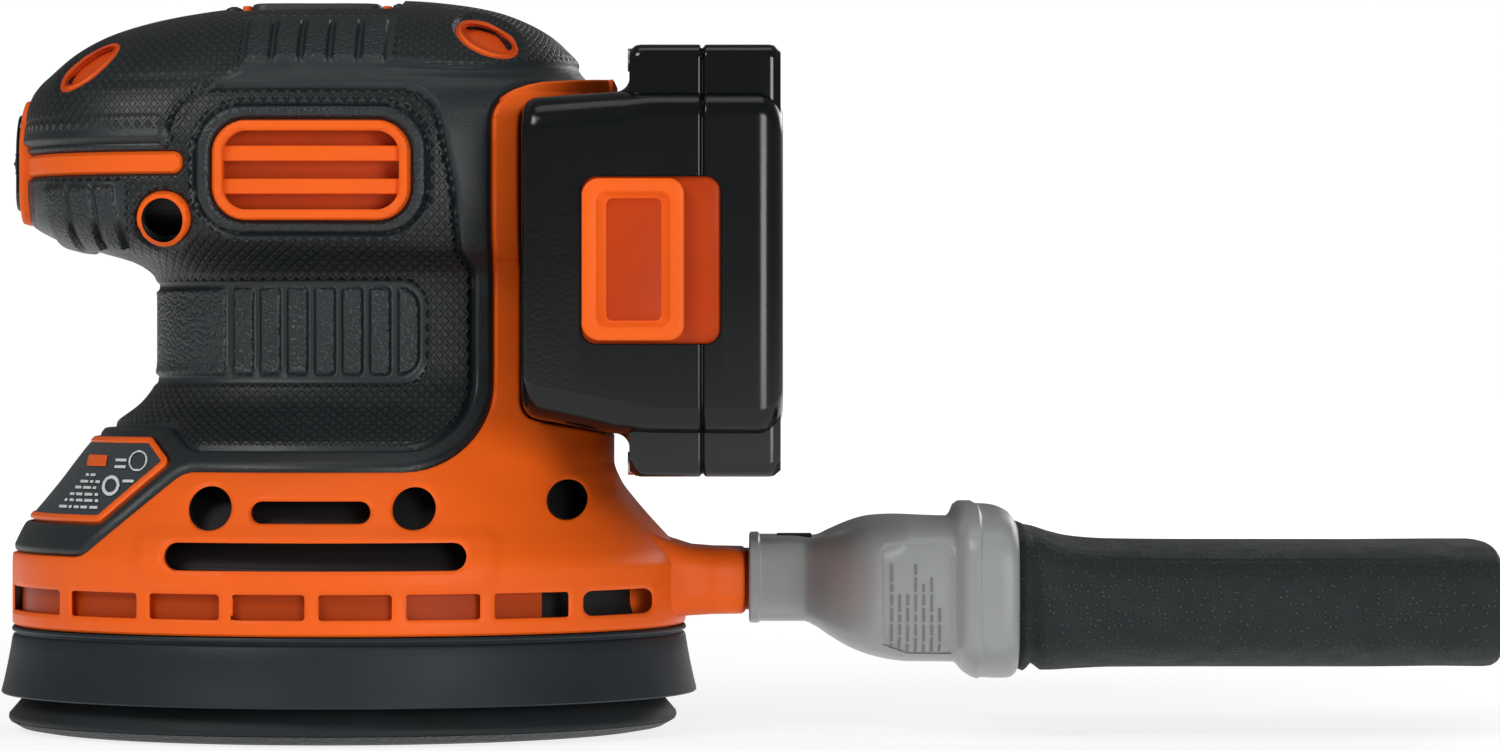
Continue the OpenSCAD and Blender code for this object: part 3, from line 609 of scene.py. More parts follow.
def laid_out(grid):
    """The surface laid out flat, in metres: along each row from X 0, and up the side's own slope."""
    runs = np.cumsum(np.linalg.norm(np.diff(grid, axis=1), axis=-1), 1)
    runs = np.concatenate([np.zeros((ROWS, 1)), runs], 1)
    middle = [np.interp(0, x, run) for x, run in zip(grid[..., 0], runs)]
    slope = grid[:, COLUMNS // 2]
    climb = np.concatenate([[0], np.cumsum(np.linalg.norm(np.diff(slope[:, 1:], axis=0), axis=1))])
    flat = np.stack([runs - np.array(middle)[:, None], np.repeat(climb[:, None], COLUMNS, 1)], -1)
    return flat.reshape(-1, 2) * MM


GRID = body_grid()
NORMAL = normals_of(GRID)
LAID_OUT = laid_out(GRID)
CELL = np.linalg.norm(np.diff(GRID, axis=1), axis=-1).mean()


def side_y(x, z):
    """Half width of the body at a place in the side view."""
    at = np.interp(z, SECTIONS[:, 0], RUN)
    front, back, half, power = (pchip(RUN, SECTIONS[:, k], at) for k in range(1, 5))
    u = np.clip(np.abs(x - (front + back) / 2) / ((back - front) / 2), 0, 1)
    return half * (1 - u**power) ** (1 / power)


def snap(grid, distances):
    """Moves each point that is under half a cell from a line of distance 0 onto that line."""
    best = np.full(grid.shape[:2], 0.5)
    moved = grid.copy()
    for distance in distances:
        gi, gj = np.gradient(distance)
        size = gi * gi + gj * gj + 1e-9
        si, sj = -distance * gi / size, -distance * gj / size
        sj[:, (0, -1)] = 0
        si[(0, -1), :] = 0
        reach = np.maximum(np.abs(si), np.abs(sj))
        use = reach < best
        for steps, axis in ((si, 0), (sj, 1)):
            steps[~use] = 0
        forward, back = np.roll(grid, -1, 0) - grid, np.roll(grid, 1, 0) - grid
        right, left = np.roll(grid, -1, 1) - grid, np.roll(grid, 1, 1) - grid
        shift = (np.maximum(si, 0)[..., None] * forward + np.maximum(-si, 0)[..., None] * back
                 + np.maximum(sj, 0)[..., None] * right + np.maximum(-sj, 0)[..., None] * left)
        moved[use] = (grid + shift)[use]
        best[use] = reach[use]
    return moved


def kept_faces(state):
    """The grid's cells that lie on the kept side, with the corner cells that an edge crosses cut in two."""
    quads = np.array(strip_faces(ROWS, COLUMNS, closed=False))
    signs = state[quads]
    faces = quads[(signs.min(axis=1) >= 0) & (signs.max(axis=1) > 0)].tolist()
    for k in range(4):
        a, b, c, d = (quads[:, (k + i) % 4] for i in range(4))
        corner = (state[a] > 0) & (state[c] < 0) & (state[b] == 0) & (state[d] == 0)
        faces += np.stack([d[corner], a[corner], b[corner]], -1).tolist()
    return faces


def add_wall(points, faces, state, wall):
    """Adds the wall that goes in from each cut edge."""
    edges = {(f[i], f[(i + 1) % len(f)]) for f in faces for i in range(len(f))}
    cut = [(a, b) for a, b in edges if (b, a) not in edges and state[a] == 0 and state[b] == 0]
    rim = sorted({v for edge in cut for v in edge})
    inner = {v: len(points) + i for i, v in enumerate(rim)}
    if rim:
        points = np.concatenate([points, wall(points[rim])])
    return points, faces + [(b, a, inner[a], inner[b]) for a, b in cut]


def nodes_on(label, nodes):
    """The CAD nodes that a side's piece stands for: that side's own, and on the left those without a side."""
    if label == "left":
        return [node for node in nodes if not node.endswith("_right")]
    return [node for node in nodes if node.endswith("_right")]


def skin(name, keep, height, finish, wall=None, snaps=(), masks=(), replaces=(), slot=None, crease=38):
    """A pair of pieces that follow the body's surface where keep is above 0, raised by height.

    keep, height, each of snaps and each mask are functions of a grid of points. wall gives the inner
    end of the wall that goes in from each cut edge.
    """
    grid = snap(GRID, [keep(GRID)] + [line(GRID) for line in snaps])
    kept = keep(grid)
    state = np.where(np.abs(kept) < 0.12 * CELL, 0, np.sign(kept)).astype(int).ravel()
    raised = (grid + NORMAL * height(grid)[..., None]).reshape(-1, 3)
    faces = kept_faces(state)
    if wall:
        raised, faces = add_wall(raised, faces, state, wall)
    used, faces = drop_unused(len(raised), faces)
    uv = np.zeros((len(raised), 2))
    uv[: ROWS * COLUMNS] = LAID_OUT
    for label in SIDES:
        piece = make(f"{name}_{label}", raised[used], faces, finish, "housing", nodes_on(label, replaces),
                     slot, crease, mirror=label == "right", surface=True)
        layer = piece.data.uv_layers.new(name="skin")
        loops = np.empty(len(piece.data.loops), int)
        piece.data.loops.foreach_get("vertex_index", loops)
        layer.data.foreach_set("uv", uv[used][loops].ravel())
        for mask_name, mask in masks:
            values = np.zeros(len(raised))
            values[: state.size] = mask(grid).ravel()
            set_mask(piece, mask_name, values[used])


def set_mask(piece, name, values):
    """Stores a value for each point of a piece, for its material to read."""
    attribute = piece.data.attributes.new(name, "FLOAT", "POINT")
    attribute.data.foreach_set("value", values)


# ---------------------------------------------------------------- features of the side

GRIP = outline((-80, 33.4, 0), (-46, 33.4, 5), (-27.2, 48.9, 6), (28.3, 48.9, 15.5), (28.3, 116.6, 6),
               (36.5, 119.3, 8), (50, 121.1, 0), (70, 121.1, 0), (70, 170, 0), (-80, 170, 0))
PANEL = outline((-80, 56.8, 0), (-30.2, 56.8, 3), (-26.2, 52.8, 4), (24.4, 52.8, 12), (24.4, 85.2, 2),
                (22.2, 88.2, 2), (21.4, 100, 8), (17.5, 118.4, 8), (-31, 118.4, 9), (-30.4, 108, 2),
                (-80, 108, 0))
SURROUND = (-25.6, 16.7, 91.4, 115.2, 8.6)
VENT = (-22.5, 13.6, 93.9, 112.4, 6.2)
VENT_IN = (-20.4, 11.5, 96.0, 110.3, 4.2)
STRIPE = (-80, -27.9, 102.6, 106.6, 1.9)
EYE = (-31.6, 94.3, 5.1)
FRONT_OVAL = (-46.7, 122.9, 6.3, 2.5, 40)
REAR_OVAL = (26.6, 128.0, 5.9, 2.9, -26)
LABEL = outline((-80, 39.4, 0), (-42.6, 39.4, 2), (-30.0, 50.2, 1.2), (-34.2, 54.6, 1.2), (-80, 54.6, 0))
POCKET = outline((33.1, 58.3, 4.0), (33.1, 115.6, 4.0), (50, 117.6, 0), (80, 117.6, 0), (80, 49.2, 0))
WELLS = ((-21.7, 42.3, 4.0), (15.1, 42.3, 3.85), (42.0, 43.5, 3.6))
SLOTS = ((-14.2, 7.4, 39.7, 43.7, 1.95), (-29.5, 24.6, 31.1, 36.1, 2.45))
BAND = (-80, 15.6, 64.6, 83.0, 4.2)
RIB_PITCH, RIB_FIRST, RIB_WIDTH = 15.5, -49.1, 2.5
LAST_WINDOW_END = 57.4
WELL_DEPTH = 11
WINDOW_Z = (22.4, 27.0)
# widths of the orange rims inside the eye and the two ovals
EYE_RIM, OVAL_RIM = 1.25, 0.6


def side(f):
    """Makes a function of points from a function of x and z."""
    return lambda p: f(p[..., 0], p[..., 2])


def flat_height(height):
    """The same height all over."""
    return lambda p: np.full(p.shape[:2], height)


def windows(p):
    """Distance outside the windows in the base ring."""
    x, y, z = p[..., 0], p[..., 1], p[..., 2]
    best = np.full(x.shape, 1e3)
    ribs = [-90] + [RIB_FIRST + RIB_PITCH * i for i in range(7)] + [LAST_WINDOW_END + RIB_WIDTH / 2]
    for i, (a, b) in enumerate(zip(ribs, ribs[1:])):
        corner = 1.7 if i == 7 else 0.5
        best = np.minimum(best, away_box(x, z, a + RIB_WIDTH / 2, b - RIB_WIDTH / 2, *WINDOW_Z, corner))
    return np.maximum(best, 12 - np.abs(y))


def holes(p):
    """Distance outside every opening in the hard shell."""
    x, z = p[..., 0], p[..., 2]
    found = [away_box(x, z, *VENT_IN), away(POCKET, x, z), windows(p)]
    found += [from_circle(x, z, well) for well in WELLS]
    found += [away_box(x, z, *slot) for slot in SLOTS]
    found.append(from_circle(x, z, EYE) + EYE_RIM)
    for cx, cz, a, b, tilt in (FRONT_OVAL, REAR_OVAL):
        found.append(away_oval(x, z, cx, cz, a - OVAL_RIM, b - OVAL_RIM, tilt))
    return np.minimum.reduce(found)


def grip_edge(p):
    """Distance inside the overmould's edges: above 0 where there is overmould."""
    x, z = p[..., 0], p[..., 2]
    return np.minimum.reduce([
        -away(GRIP, x, z), away_box(x, z, *VENT), away_box(x, z, *STRIPE), away(LABEL, x, z),
        from_circle(x, z, EYE), away_oval(x, z, *FRONT_OVAL), away_oval(x, z, *REAR_OVAL)])


def shell_height(p):
    """Height of the hard shell over the body's surface: lower under the overmould, with raised rims."""
    x, z = p[..., 0], p[..., 2]
    edge = grip_edge(p)
    under = -1.9 * ramp(edge, -0.55, 0.7)
    vent_rim = 0.75 * ramp(away_box(x, z, *VENT_IN), -0.2, 0.5) * ramp(-away_box(x, z, *VENT), -0.3, 0.7)
    ring = 0.35 * ramp(EYE[2] - np.hypot(x - EYE[0], z - EYE[1]), 0, 0.5)
    swell = 0.5 * ramp(-away_box(x, z, -35, 30, 27.2, 40, 5), -1.5, 2.0) * ramp(40 - z, 0, 4)
    lips = sum(rolled(away_box(x, z, *slot), 0.7, 0.5) for slot in SLOTS)
    lips = lips + sum(rolled(from_circle(x, z, well), 0.6, 0.4) for well in WELLS)
    lips = lips + rolled(away(POCKET, x, z), 0.7, 0.45) + rolled(windows(p), 0.5, 0.3)
    seam = groove((z - 86.8) * 0.8, 0.3, 0.35) * ramp(x, 28.4, 29.2) * ramp(edge, 0.2, -0.2)
    foot = rolled(z - BASE_Z, 0.9, 0.6)
    middle = groove(p[..., 1], 0.3, 0.3)
    return under + vent_rim + ring + swell * ramp(-edge, 0, 2) + lips + seam + foot + middle


def shell_wall(p):
    """Inner end of the shell's cut edges: the dock's back reaches the middle, other edges a wall's depth."""
    x, y, z = p[..., 0], p[..., 1], p[..., 2]
    deep = np.full(x.shape, 3.0)
    deep = np.where(away_box(x, z, *VENT_IN) < 0.3, 4.5, deep)
    for cx, cz, r in (*WELLS, EYE):
        deep = np.where(np.hypot(x - cx, z - cz) < r + 0.3, 1.1, deep)
    for oval in (FRONT_OVAL, REAR_OVAL):
        deep = np.where(away_oval(x, z, *oval) < 0.5, 7.5, deep)
    new = np.where(away(POCKET, x, z) < 0.3, 0, np.minimum(0, y + deep))
    return np.stack([x, new, z], -1)


def make_shell():
    """The orange clamshell, with its dock for the pack."""
    lines = (lambda p: grip_edge(p) + 0.05, side(lambda x, z: away_box(x, z, *VENT) + 0.1))
    skin("shell", lambda p: np.minimum(holes(p), 3.2 - grip_edge(p)), shell_height, "orange_plastic",
         wall=shell_wall, snaps=lines, replaces=("housing_left", "housing_right", "battery_dock"),
         slot="orange_plastic")


# ---------------------------------------------------------------- overmould

CHEEK_RIBS = ((-54.6, -50.0), (-49.4, -45.2), (-44.6, -40.6))


def dome_edge(x, z):
    """Height above the line where the knurled crown ends."""
    return z - np.interp(x, (-60, -31, -26, -17, -8, 10, 24, 42),
                         (107.4, 107.4, 116.5, 120.8, 122.2, 122.2, 121.6, 123.4))


def band_panels(x, z):
    """Distance outside the raised panels of the waist band."""
    found = [away_box(x, z, -80, -21.0, 65.9, 82.0, 0.8)]
    for k in range(6):
        x0 = -19.7 + 5.05 * k
        found.append(away_box(x, z, x0, x0 + 4.0, 65.9, 82.0, 0.7))
    found.append(np.maximum(away_box(x, z, -6, 14.7, 65.9, 82.0, 3.6), 10.7 - x))
    return np.minimum.reduce(found)


def crown_ribs(x, z):
    """Distance outside the ribs high on the head's side."""
    found = [away_box(x, z, a, a + 4.55, 122.5, 130.6, 0.5) for a in np.arange(-16.9, 5, 5.25)]
    return np.minimum.reduce(found)


def cheek_ribs(x, z):
    """Distance outside the ribs low on the head's front."""
    lean = x - (100.5 - z) * 0.16
    found = [away_box(lean, z, a, b, 89.2, 100.6, 0.5) for a, b in CHEEK_RIBS]
    return np.minimum.reduce(found)


def knurled(p):
    """1 where the overmould carries diamonds."""
    x, z = p[..., 0], p[..., 2]
    crown = ramp(dome_edge(x, z), 0.3, 1.6) * ramp(away_box(x, z, -17.6, 9.9, 121.6, 131.4, 0.5), 0, 0.6)
    crown = crown * ramp(z - 110.6 + 0.3 * ramp(x, -30, -20), 0, 1.5)
    waist = ramp(-away(PANEL, x, z), 0.5, 1.1) * ramp(away_box(x, z, *SURROUND), 0.6, 1.2)
    waist = waist * ramp(away_box(x, z, *BAND), 0.3, 0.8)
    waist = waist * ramp(away_box(x, z, *STRIPE), 0.4, 0.9)
    front = ramp(away_box(x, z, -57, -38.6, 88.4, 101.4, 1.0), 0, 0.5)
    eye = ramp(np.hypot(x - EYE[0], z - EYE[1]) - EYE[2], 0.3, 0.8)
    top = ramp(away_box(x, p[..., 1], -23, 12, -13.6, 13.6, 4) + 50 * (z < 128), 0, 0.6)
    return np.clip(np.maximum(crown * top, waist) * front * eye * ramp(x, -58.6, -57.6), 0, 1)


def pebbled(p):
    """1 on the raised panels and ribs, and less on the vent's surround, which carry a leather grain."""
    x, z = p[..., 0], p[..., 2]
    pads = np.minimum.reduce([band_panels(x, z), crown_ribs(x, z), cheek_ribs(x, z)])
    return np.maximum(ramp(-pads, 0, 0.4), 0.55 * ramp(-away_box(x, z, *SURROUND), 0, 0.4))


def grip_height(p):
    """Height of the overmould over the body's surface, with its panels, ribs, borders and rounded edge."""
    x, z = p[..., 0], p[..., 2]
    edge = grip_edge(p)
    surround = away_box(x, z, *SURROUND)
    panel = away(PANEL, x, z)
    high = 0.35 * ramp(-surround, -0.1, 0.5) + groove(surround, 0.42, 0.95)
    high = high + groove(panel, 0.42, 0.85) + 0.3 * ramp(panel, 0.2, 0.9)
    crown = dome_edge(x, z)
    high = high + (0.7 * ramp(crown, -0.45, 0.55) - 0.2 * ramp(crown, 0.6, 3)) * ramp(z, 105, 108)
    band = away_box(x, z, *BAND)
    high = high - 0.35 * ramp(-band, -0.1, 0.4) + groove(band, 0.35, 0.3)
    high = high + 0.8 * ramp(-band_panels(x, z), -0.1, 0.45)
    high = high + 0.75 * ramp(-crown_ribs(x, z), -0.1, 0.45) + 0.95 * ramp(-cheek_ribs(x, z), -0.1, 0.6)
    high = high + groove(away_box(x, z, -60, -31.5, 108.6, 112.6, 1), 0.3, 0.2)
    badge_pocket = away_box(x, p[..., 1], -21.6, 10.4, -12.6, 12.6, 4) + 50 * (z < 128)
    high = high - 1.9 * ramp(-badge_pocket, -0.2, 0.7)
    rim = rolled(edge, 0.9, 0.95) - 0.8 * ramp(-edge, 0, 0.5)
    return high * ramp(edge, 0.2, 1.2) + rim


def make_overmould():
    """The soft black overmould with its knurled panels and grained pads."""
    skin("overmould", lambda p: grip_edge(p) + 0.55, grip_height, "soft_overmould",
         snaps=(grip_edge, lambda p: grip_edge(p) - 0.5), masks=(("knurled", knurled), ("pebbled", pebbled)),
         replaces=("grip_left", "grip_right"), slot="soft_grip", crease=60)


def make_shade_liner():
    """A near-black inner wall that closes the view through the openings: painted shade for the inside of the
    shell.
    """
    skin("liner", side(lambda x, z: 32.4 - x + 100 * ramp(54 - z, 0, 1)), flat_height(-5.5), "liner",
         slot="gloss_black", crease=180)


def make_lip():
    """The dock's thin upper lip, which runs out over the pack and ends square."""
    rings = []
    for x in (29.5, 32, 34.5, 37, 39.5, 42, 44.5, 47, 48.8, 49.6, 49.9):
        low = np.interp(x, (29.5, 33, 36, 50), (113.5, 115.3, 115.85, 117.55))
        high = np.interp(x, (29.5, 33, 36.5, 50), (116.8, 118.6, 119.55, 120.9))
        half = min(side_y(np.array([min(x, 48.5)]), np.array([118.0]))[0], 36.4) + 0.15
        edge = 0.35 if x > 49.7 else 0
        rings.append(cross_ring(x, (low + high) / 2, half - edge, (high - low) / 2 - edge, 0.55, 32))
    make_loft("dock_lip", rings, "orange_plastic", slot="orange_plastic")


def make_label():
    """The label field and its raised border."""
    inside = side(lambda x, z: -away(LABEL, x, z))

    def in_border(p):
        return np.minimum(inside(p), 1.15 - inside(p))

    skin("label_border", in_border, lambda p: 0.42 + rolled(in_border(p), 0.4, 0.35), "orange_plastic",
         slot="orange_plastic")
    skin("label_field", lambda p: inside(p) - 0.9, flat_height(0.12), "label_face",
         replaces=("label_plate",), slot="label_face")


def patch(name, shape_distance, box, lift, finish, slot, step=0.2):
    """A thin pair of pieces on the body's sides, cut from a fine grid in the side view.

    lift is their height over the body, or a function of the distance from their edge.
    """
    x0, x1, z0, z1 = box
    xs, zs = np.arange(x0, x1 + step, step), np.arange(z0, z1 + step, step)
    x, z = np.meshgrid(xs, zs)
    distance = shape_distance(x, z)
    inside = (distance < 0.02).ravel()
    y = -side_y(x, z) - (lift(distance) if callable(lift) else lift)
    faces = [f for f in strip_faces(len(zs), len(xs), closed=False) if inside[list(f)].all()]
    points = np.stack([x, y, z], -1).reshape(-1, 3)
    used, faces = drop_unused(len(points), faces)
    make_pair(name, points[used], faces, finish, slot=slot, surface=True)


def make_label_marks():
    """Printed marks without any lettering: a tab, two rings and rows of plain dashes."""
    dashes = [(-41.0, -38.6, 50.2, 50.8, 0.1), (-41.0, -38.6, 49.0, 49.6, 0.1),
              (-38.9, -36.6, 46.5, 47.0, 0.1)]
    for row in range(6):
        x, z = -47.0 - 0.95 * row, 47.7 - 1.15 * row
        for k in range(9):
            length = 0.8 + 0.35 * ((3 * row + 5 * k) % 4)
            if x + length > -43.0 + 0.2 * (row % 3):
                break
            dashes.append((x, x + length, z - 0.28, z + 0.28, 0.1))
            x += length + 0.34

    def marks(x, z):
        found = [away_box(x, z, *dash) for dash in dashes]
        found.append(np.abs(from_circle(x, z, (-36.3, 50.4, 1.7))) - 0.2)
        found.append(np.abs(from_circle(x, z, (-41.2, 45.9, 1.5))) - 0.35)
        return np.minimum.reduce(found)

    patch("label_marks", marks, (-54, -34, 41, 53), 0.7, "label_ink", "label_face", step=0.12)
    patch("label_tab", lambda x, z: away_box(x, z, -47.2, -42.7, 49.2, 51.4, 0.2), (-48, -42, 48.5, 52), 0.7,
          "orange_plastic", "label_face")


def make_vent():
    """Louvre bars in the vent and the inner wall behind them, whose darker orange is painted shade."""
    for k, (z0, z1) in enumerate(((98.8, 101.6), (104.8, 107.6))):
        middle = (z0 + z1) / 2
        bar = rounded_ring(1.6, (z1 - z0) / 2, 0.35, 24)
        rings = []
        for x in np.linspace(-21, 12, 60):
            y = -side_y(x, middle) + 0.9
            rings.append([(x, y + 1.6 + a, middle + b) for a, b in bar])
        make_pair(f"louvre_{k}", *loft(rings), "orange_plastic", slot="orange_plastic")
    box = (-23, 14, 93, 113)
    patch("vent_back", lambda x, z: away_box(x, z, *box, 2), box, -5.2, "orange_recess_shade", "dark_orange_plastic",
          step=0.8)


def oval_ring(cx, cz, a, b, tilt, count=48):
    """X and Z of points round a tilted ellipse."""
    turn = np.radians(np.arange(count) * 360 / count)
    c, s = math.cos(math.radians(tilt)), math.sin(math.radians(tilt))
    return cx + a * np.cos(turn) * c - b * np.sin(turn) * s, cz + a * np.cos(turn) * s + b * np.sin(turn) * c


def make_wells():
    """Wells in the shell, lined in near-black as painted shade. Returns the place of the screw in each."""
    screws = []
    for k, (x, z, r) in enumerate((*WELLS, (*EYE[:2], EYE[2] - EYE_RIM))):
        xs, zs = oval_ring(x, z, r + 0.12, r + 0.12, 0)
        mouth = -side_y(xs, zs) + 1.0
        floor = np.full(len(xs), mouth.max() + WELL_DEPTH)
        points, faces = loft([np.stack([xs, y, zs], -1) for y in (mouth, floor)])
        # the wall is seen from inside, and the mouth stays open
        faces = [f[::-1] for f in (*faces[:-2], faces[-1])]
        make_pair(f"well_{k}", points, faces, "liner", slot="gloss_black", surface=True)
        screws.append((x, floor[0] - 1.2, z))
    return screws


def make_hollows():
    """Shallow orange hollows high on the head, in darker orange as painted shade."""
    for name, oval in (("front", FRONT_OVAL), ("rear", REAR_OVAL)):
        cx, cz, reach = oval[0], oval[1], max(oval[2:4]) + 1
        box = (cx - reach, cx + reach, cz - reach, cz + reach)
        patch(f"hollow_{name}", lambda x, z: away_oval(x, z, *oval) - OVAL_RIM, box,
              lambda d: -0.3 - 3.4 * ramp(-d, 0.5, 2.3), "orange_recess_shade", "dark_orange_plastic")


def make_screws(places):
    """One piece of all the screws in the wells: heads with a recess, and shanks."""
    head = 2.5
    profile = ((0.0, head * 0.55), (0.35, head * 0.55), (0.0, head * 0.6), (0.25, head), (1.6, head),
               (1.6, 1.3), (16, 1.2))
    points, faces = [], []
    for x, y, z in places:
        found, sides = loft([round_ring(x, z, radius, y + depth, 24) for depth, radius in profile])
        faces += [[v + len(points) for v in f] for f in sides]
        points += found.tolist()
    make("screws", points, faces, "black_screw", "housing", ("housing_screws",), "screw_steel")


def make_front_switch():
    """The orange surround on the nose and the switch's frame."""
    low, high = box_mm("switch_plate")
    mid = (low[2] + high[2]) / 2

    def nose(w, h, r):
        def inside(p):
            distance = -away_box(p[..., 1], p[..., 2], -w, w, mid - h, mid + h, r)
            return np.where(p[..., 0] < -40, distance, -50)
        return inside

    surround, rim, well = nose(13.4, 11.2, 4.0), nose(9.8, 8.8, 3.0), nose(6.4, 6.2, 2.4)
    skin("switch_surround", surround, lambda p: 1.45 + rolled(surround(p), 0.8, 0.8), "orange_plastic",
         wall=lambda p: p + (2.4, 0, 0), replaces=("switch_plate",), slot="orange_plastic")
    skin("switch_frame", rim, lambda p: 2.05 + rolled(rim(p), 0.7, 0.6) - 0.8 * ramp(well(p), -0.2, 0.4),
         "gloss_black", wall=lambda p: p + (1.2, 0, 0), replaces=("switch_body",), slot="gloss_black")


def make_rocker():
    """The switch's rocker: a drum with thumb ridges on its front."""
    low, high = box_mm("switch_rocker")
    centre = (low + high) / 2
    turn = np.radians(np.linspace(0, 360, 73)[:-1])
    ridges = 0.28 * (np.cos(turn * 18) > 0.2) * (np.cos(turn) < -0.4)
    axis, drum_radius = -57.5, 5.05
    rings = []
    for s, swell in ((-1, 0.86), (-0.94, 0.97), (-0.8, 1), (0.8, 1), (0.94, 0.97), (1, 0.86)):
        radius = drum_radius * swell + ridges
        y = s * (high[1] - centre[1])
        rings.append([(axis + r * math.cos(t), y, centre[2] + r * math.sin(t)) for r, t in zip(radius, turn)])
    make_loft("rocker", rings, "black_plastic", "rocker", replaces=("switch_rocker",), slot="gloss_black")


def slab(name, x0, x1, half, z0, z1, r, edge, finish, **more):
    """A flat block on the crown, with its upper edges rounded."""
    middle = (x0 + x1) / 2
    rings = []
    for z, inset in ((z0, 0), (z1 - edge, 0), (z1 - 0.3 * edge, 0.3 * edge), (z1, edge)):
        ring = rounded_ring((x1 - x0) / 2 - inset, half - inset, r, 64)
        rings.append([(middle + a, b, z) for a, b in ring])
    make_loft(name, rings, finish, **more)


def make_badge():
    """The plain badge on the crown: its orange bed and tabs, two ribs and a soft stop at each end."""
    low, high = box_mm("palm_badge")
    front, rear = low[0], high[0]
    cx = (front + rear) / 2
    top = 135.2
    orange, black = {"slot": "orange_plastic"}, {"slot": "soft_grip"}
    slab("badge_bed", front - 1.9, rear + 1.9, 11.8, 130.6, 132.7, 5, 0.4, "orange_plastic", **orange)
    slab("badge", front, rear, 11, 131.0, top, 3, 0.7, "black_plastic", replaces=("palm_badge",), **black)
    for name, x in (("front", front - 1.9), ("rear", rear + 0.1)):
        slab(f"badge_tab_{name}", x, x + 1.8, 7.5, 131.4, 134.9, 0.7, 0.3, "orange_plastic", **orange)
    for k, x in enumerate((-4.2, 5.2)):
        slab(f"badge_rib_{k}", cx + x - 3.2, cx + x + 2.6, 7.4, 134.9, top + 0.22, 1.4, 0.3,
             "black_plastic", **black)
    slab("badge_stop_front", front - 5.2, front - 1.7, 9, 130.6, 134.7, 1.7, 1.2, "soft_overmould", **black)
    slab("badge_stop_rear", rear + 1.9, rear + 4.6, 9, 130.6, 135.3, 1.3, 1.1, "soft_overmould", **black)


# ---------------------------------------------------------------- base, skirt, pad


def make_spout():
    """The orange outlet that grows out of the base, and the spigot in it, whose darker orange is painted
    shade.
    """
    stations = ((50.0, 24.0, 39.6, 20.6), (56.0, 20.6, 37.2, 20.8), (60.0, 17.8, 35.2, 21.0),
                (64.0, 15.9, 34.0, 21.3), (68.0, 15.3, 33.7, 21.5), (73.6, 15.1, 33.6, 21.6),
                (74.2, 14.6, 33.1, 22.1))
    rings = [cross_ring(x, (z0 + z1) / 2, half, (z1 - z0) / 2, 4.2, 64) for x, half, z1, z0 in stations]
    make_loft("spout", rings, "orange_plastic", slot="orange_plastic", crease=50)
    rings = [cross_ring(x, 27.8, 13.4 - d, 5.5 - d, 4.6, 48) for x, d in ((72.0, 0), (83.4, 0), (84.0, 0.6))]
    make_loft("spigot", rings, "orange_shroud", slot="dark_orange_plastic")


def make_shroud():
    """The fan chamber's ring behind the windows, in darker orange as painted shade, and its roof in
    near-black as painted shade.
    """
    ring = [(58.6, 20.4), (61.2, 20.6), (61.2, 28.4), (58.6, 28.6), (58.6, 20.4)]
    points, faces = lathe(ring, 200, start=52, sweep=256)
    make("shroud", points, faces, "orange_shroud", "housing", ("fan_shroud",), "dark_orange_plastic")
    points, faces = lathe([(14, 29.6), (58, 29.6), (61.0, 28.9), (61.0, 28.5), (14, 28.5), (14, 29.6)], 120)
    make("shroud_roof", points, faces, "liner", "housing", slot="dark_orange_plastic")


def make_skirt():
    """The flared rubber skirt with the bead round its upper edge."""
    profile = [(61.4, 19.2), (62.9, 19.3), (63.1, 18.9), (63.0, 18.5), (62.5, 18.3), (62.4, 18.0),
               (62.8, 17.75), (63.0, 17.3), (63.3, 15.4), (63.85, 12.4), (64.5, 9.4), (64.95, 7.6),
               (65.05, 7.1), (64.8, 6.85), (64.2, 6.9), (63.4, 7.5), (62.9, 9.4), (62.0, 13.4),
               (61.2, 17.6), (60.9, 19.0), (61.4, 19.2)]
    points, faces = lathe(profile, 288)
    make("skirt", points, faces, "skirt_rubber", "housing", ("dust_skirt",), "skirt_rubber")


# ---------------------------------------------------------------- battery pack

SLIDE_CENTRE = (57.4, 86.5)


def seam_inset(x, seam):
    """Depth of the groove round the pack at its seam."""
    return 0.55 * math.exp(-(((x - seam) / 0.34) ** 2))


def stations_through(*runs):
    """The places in all the runs, in order and without repeats."""
    return np.unique(np.round(np.concatenate(runs), 3))


def make_pack_block(low, half, seam, x1):
    """The pack's glossy block on the rails, with one seam round it and a grained front."""
    x0 = low[0]
    stations = stations_through(
        x0 + np.array([0, 0.15, 0.5, 1.0, 1.7, 2.6, 3.6]), np.linspace(x0 + 5, x1 - 5, 40),
        x1 - np.array([4.4, 3.5, 2.5, 1.6, 0.9, 0.4, 0.1, 0]), seam + np.linspace(-1.2, 1.2, 17))
    rings = []
    for x in stations:
        near, far = x - x0, x1 - x
        radius = 2.6 if near < far else 4.4
        rounding = radius - math.sqrt(max(0, radius**2 - max(0, radius - min(near, far)) ** 2))
        inset = rounding + seam_inset(x, seam)
        crown = 0.9 * max(0, (57 - x) / 23) ** 2 + 0.5 * max(0, (x - 62) / 19) ** 2
        slope = 58.25 - 0.19 * max(0, min(near, 16.4) - 2) - 0.012 * max(0, x - 52)
        z0 = slope + inset * (1.3 if near < far else 1)
        z1 = 115.6 + 0.07 * max(0, min(near, 16.4)) - inset
        corner = 6.2 - 1.4 * float(ramp(x, 50, 58))
        rings.append(cross_ring(x, (z0 + z1) / 2, half - inset - crown, (z1 - z0) / 2, corner, 96))
    points, faces = loft(rings)
    block = make("pack_block", points, faces, "pack_plastic", "pack", ("pack_shell_inner",), "gloss_black")
    grained = (1 - ramp(points[:, 0], 53.5, 55.5)) * (np.abs(points[:, 1]) > half - 3)
    set_mask(block, "pebbled", grained.astype(float))
    return block


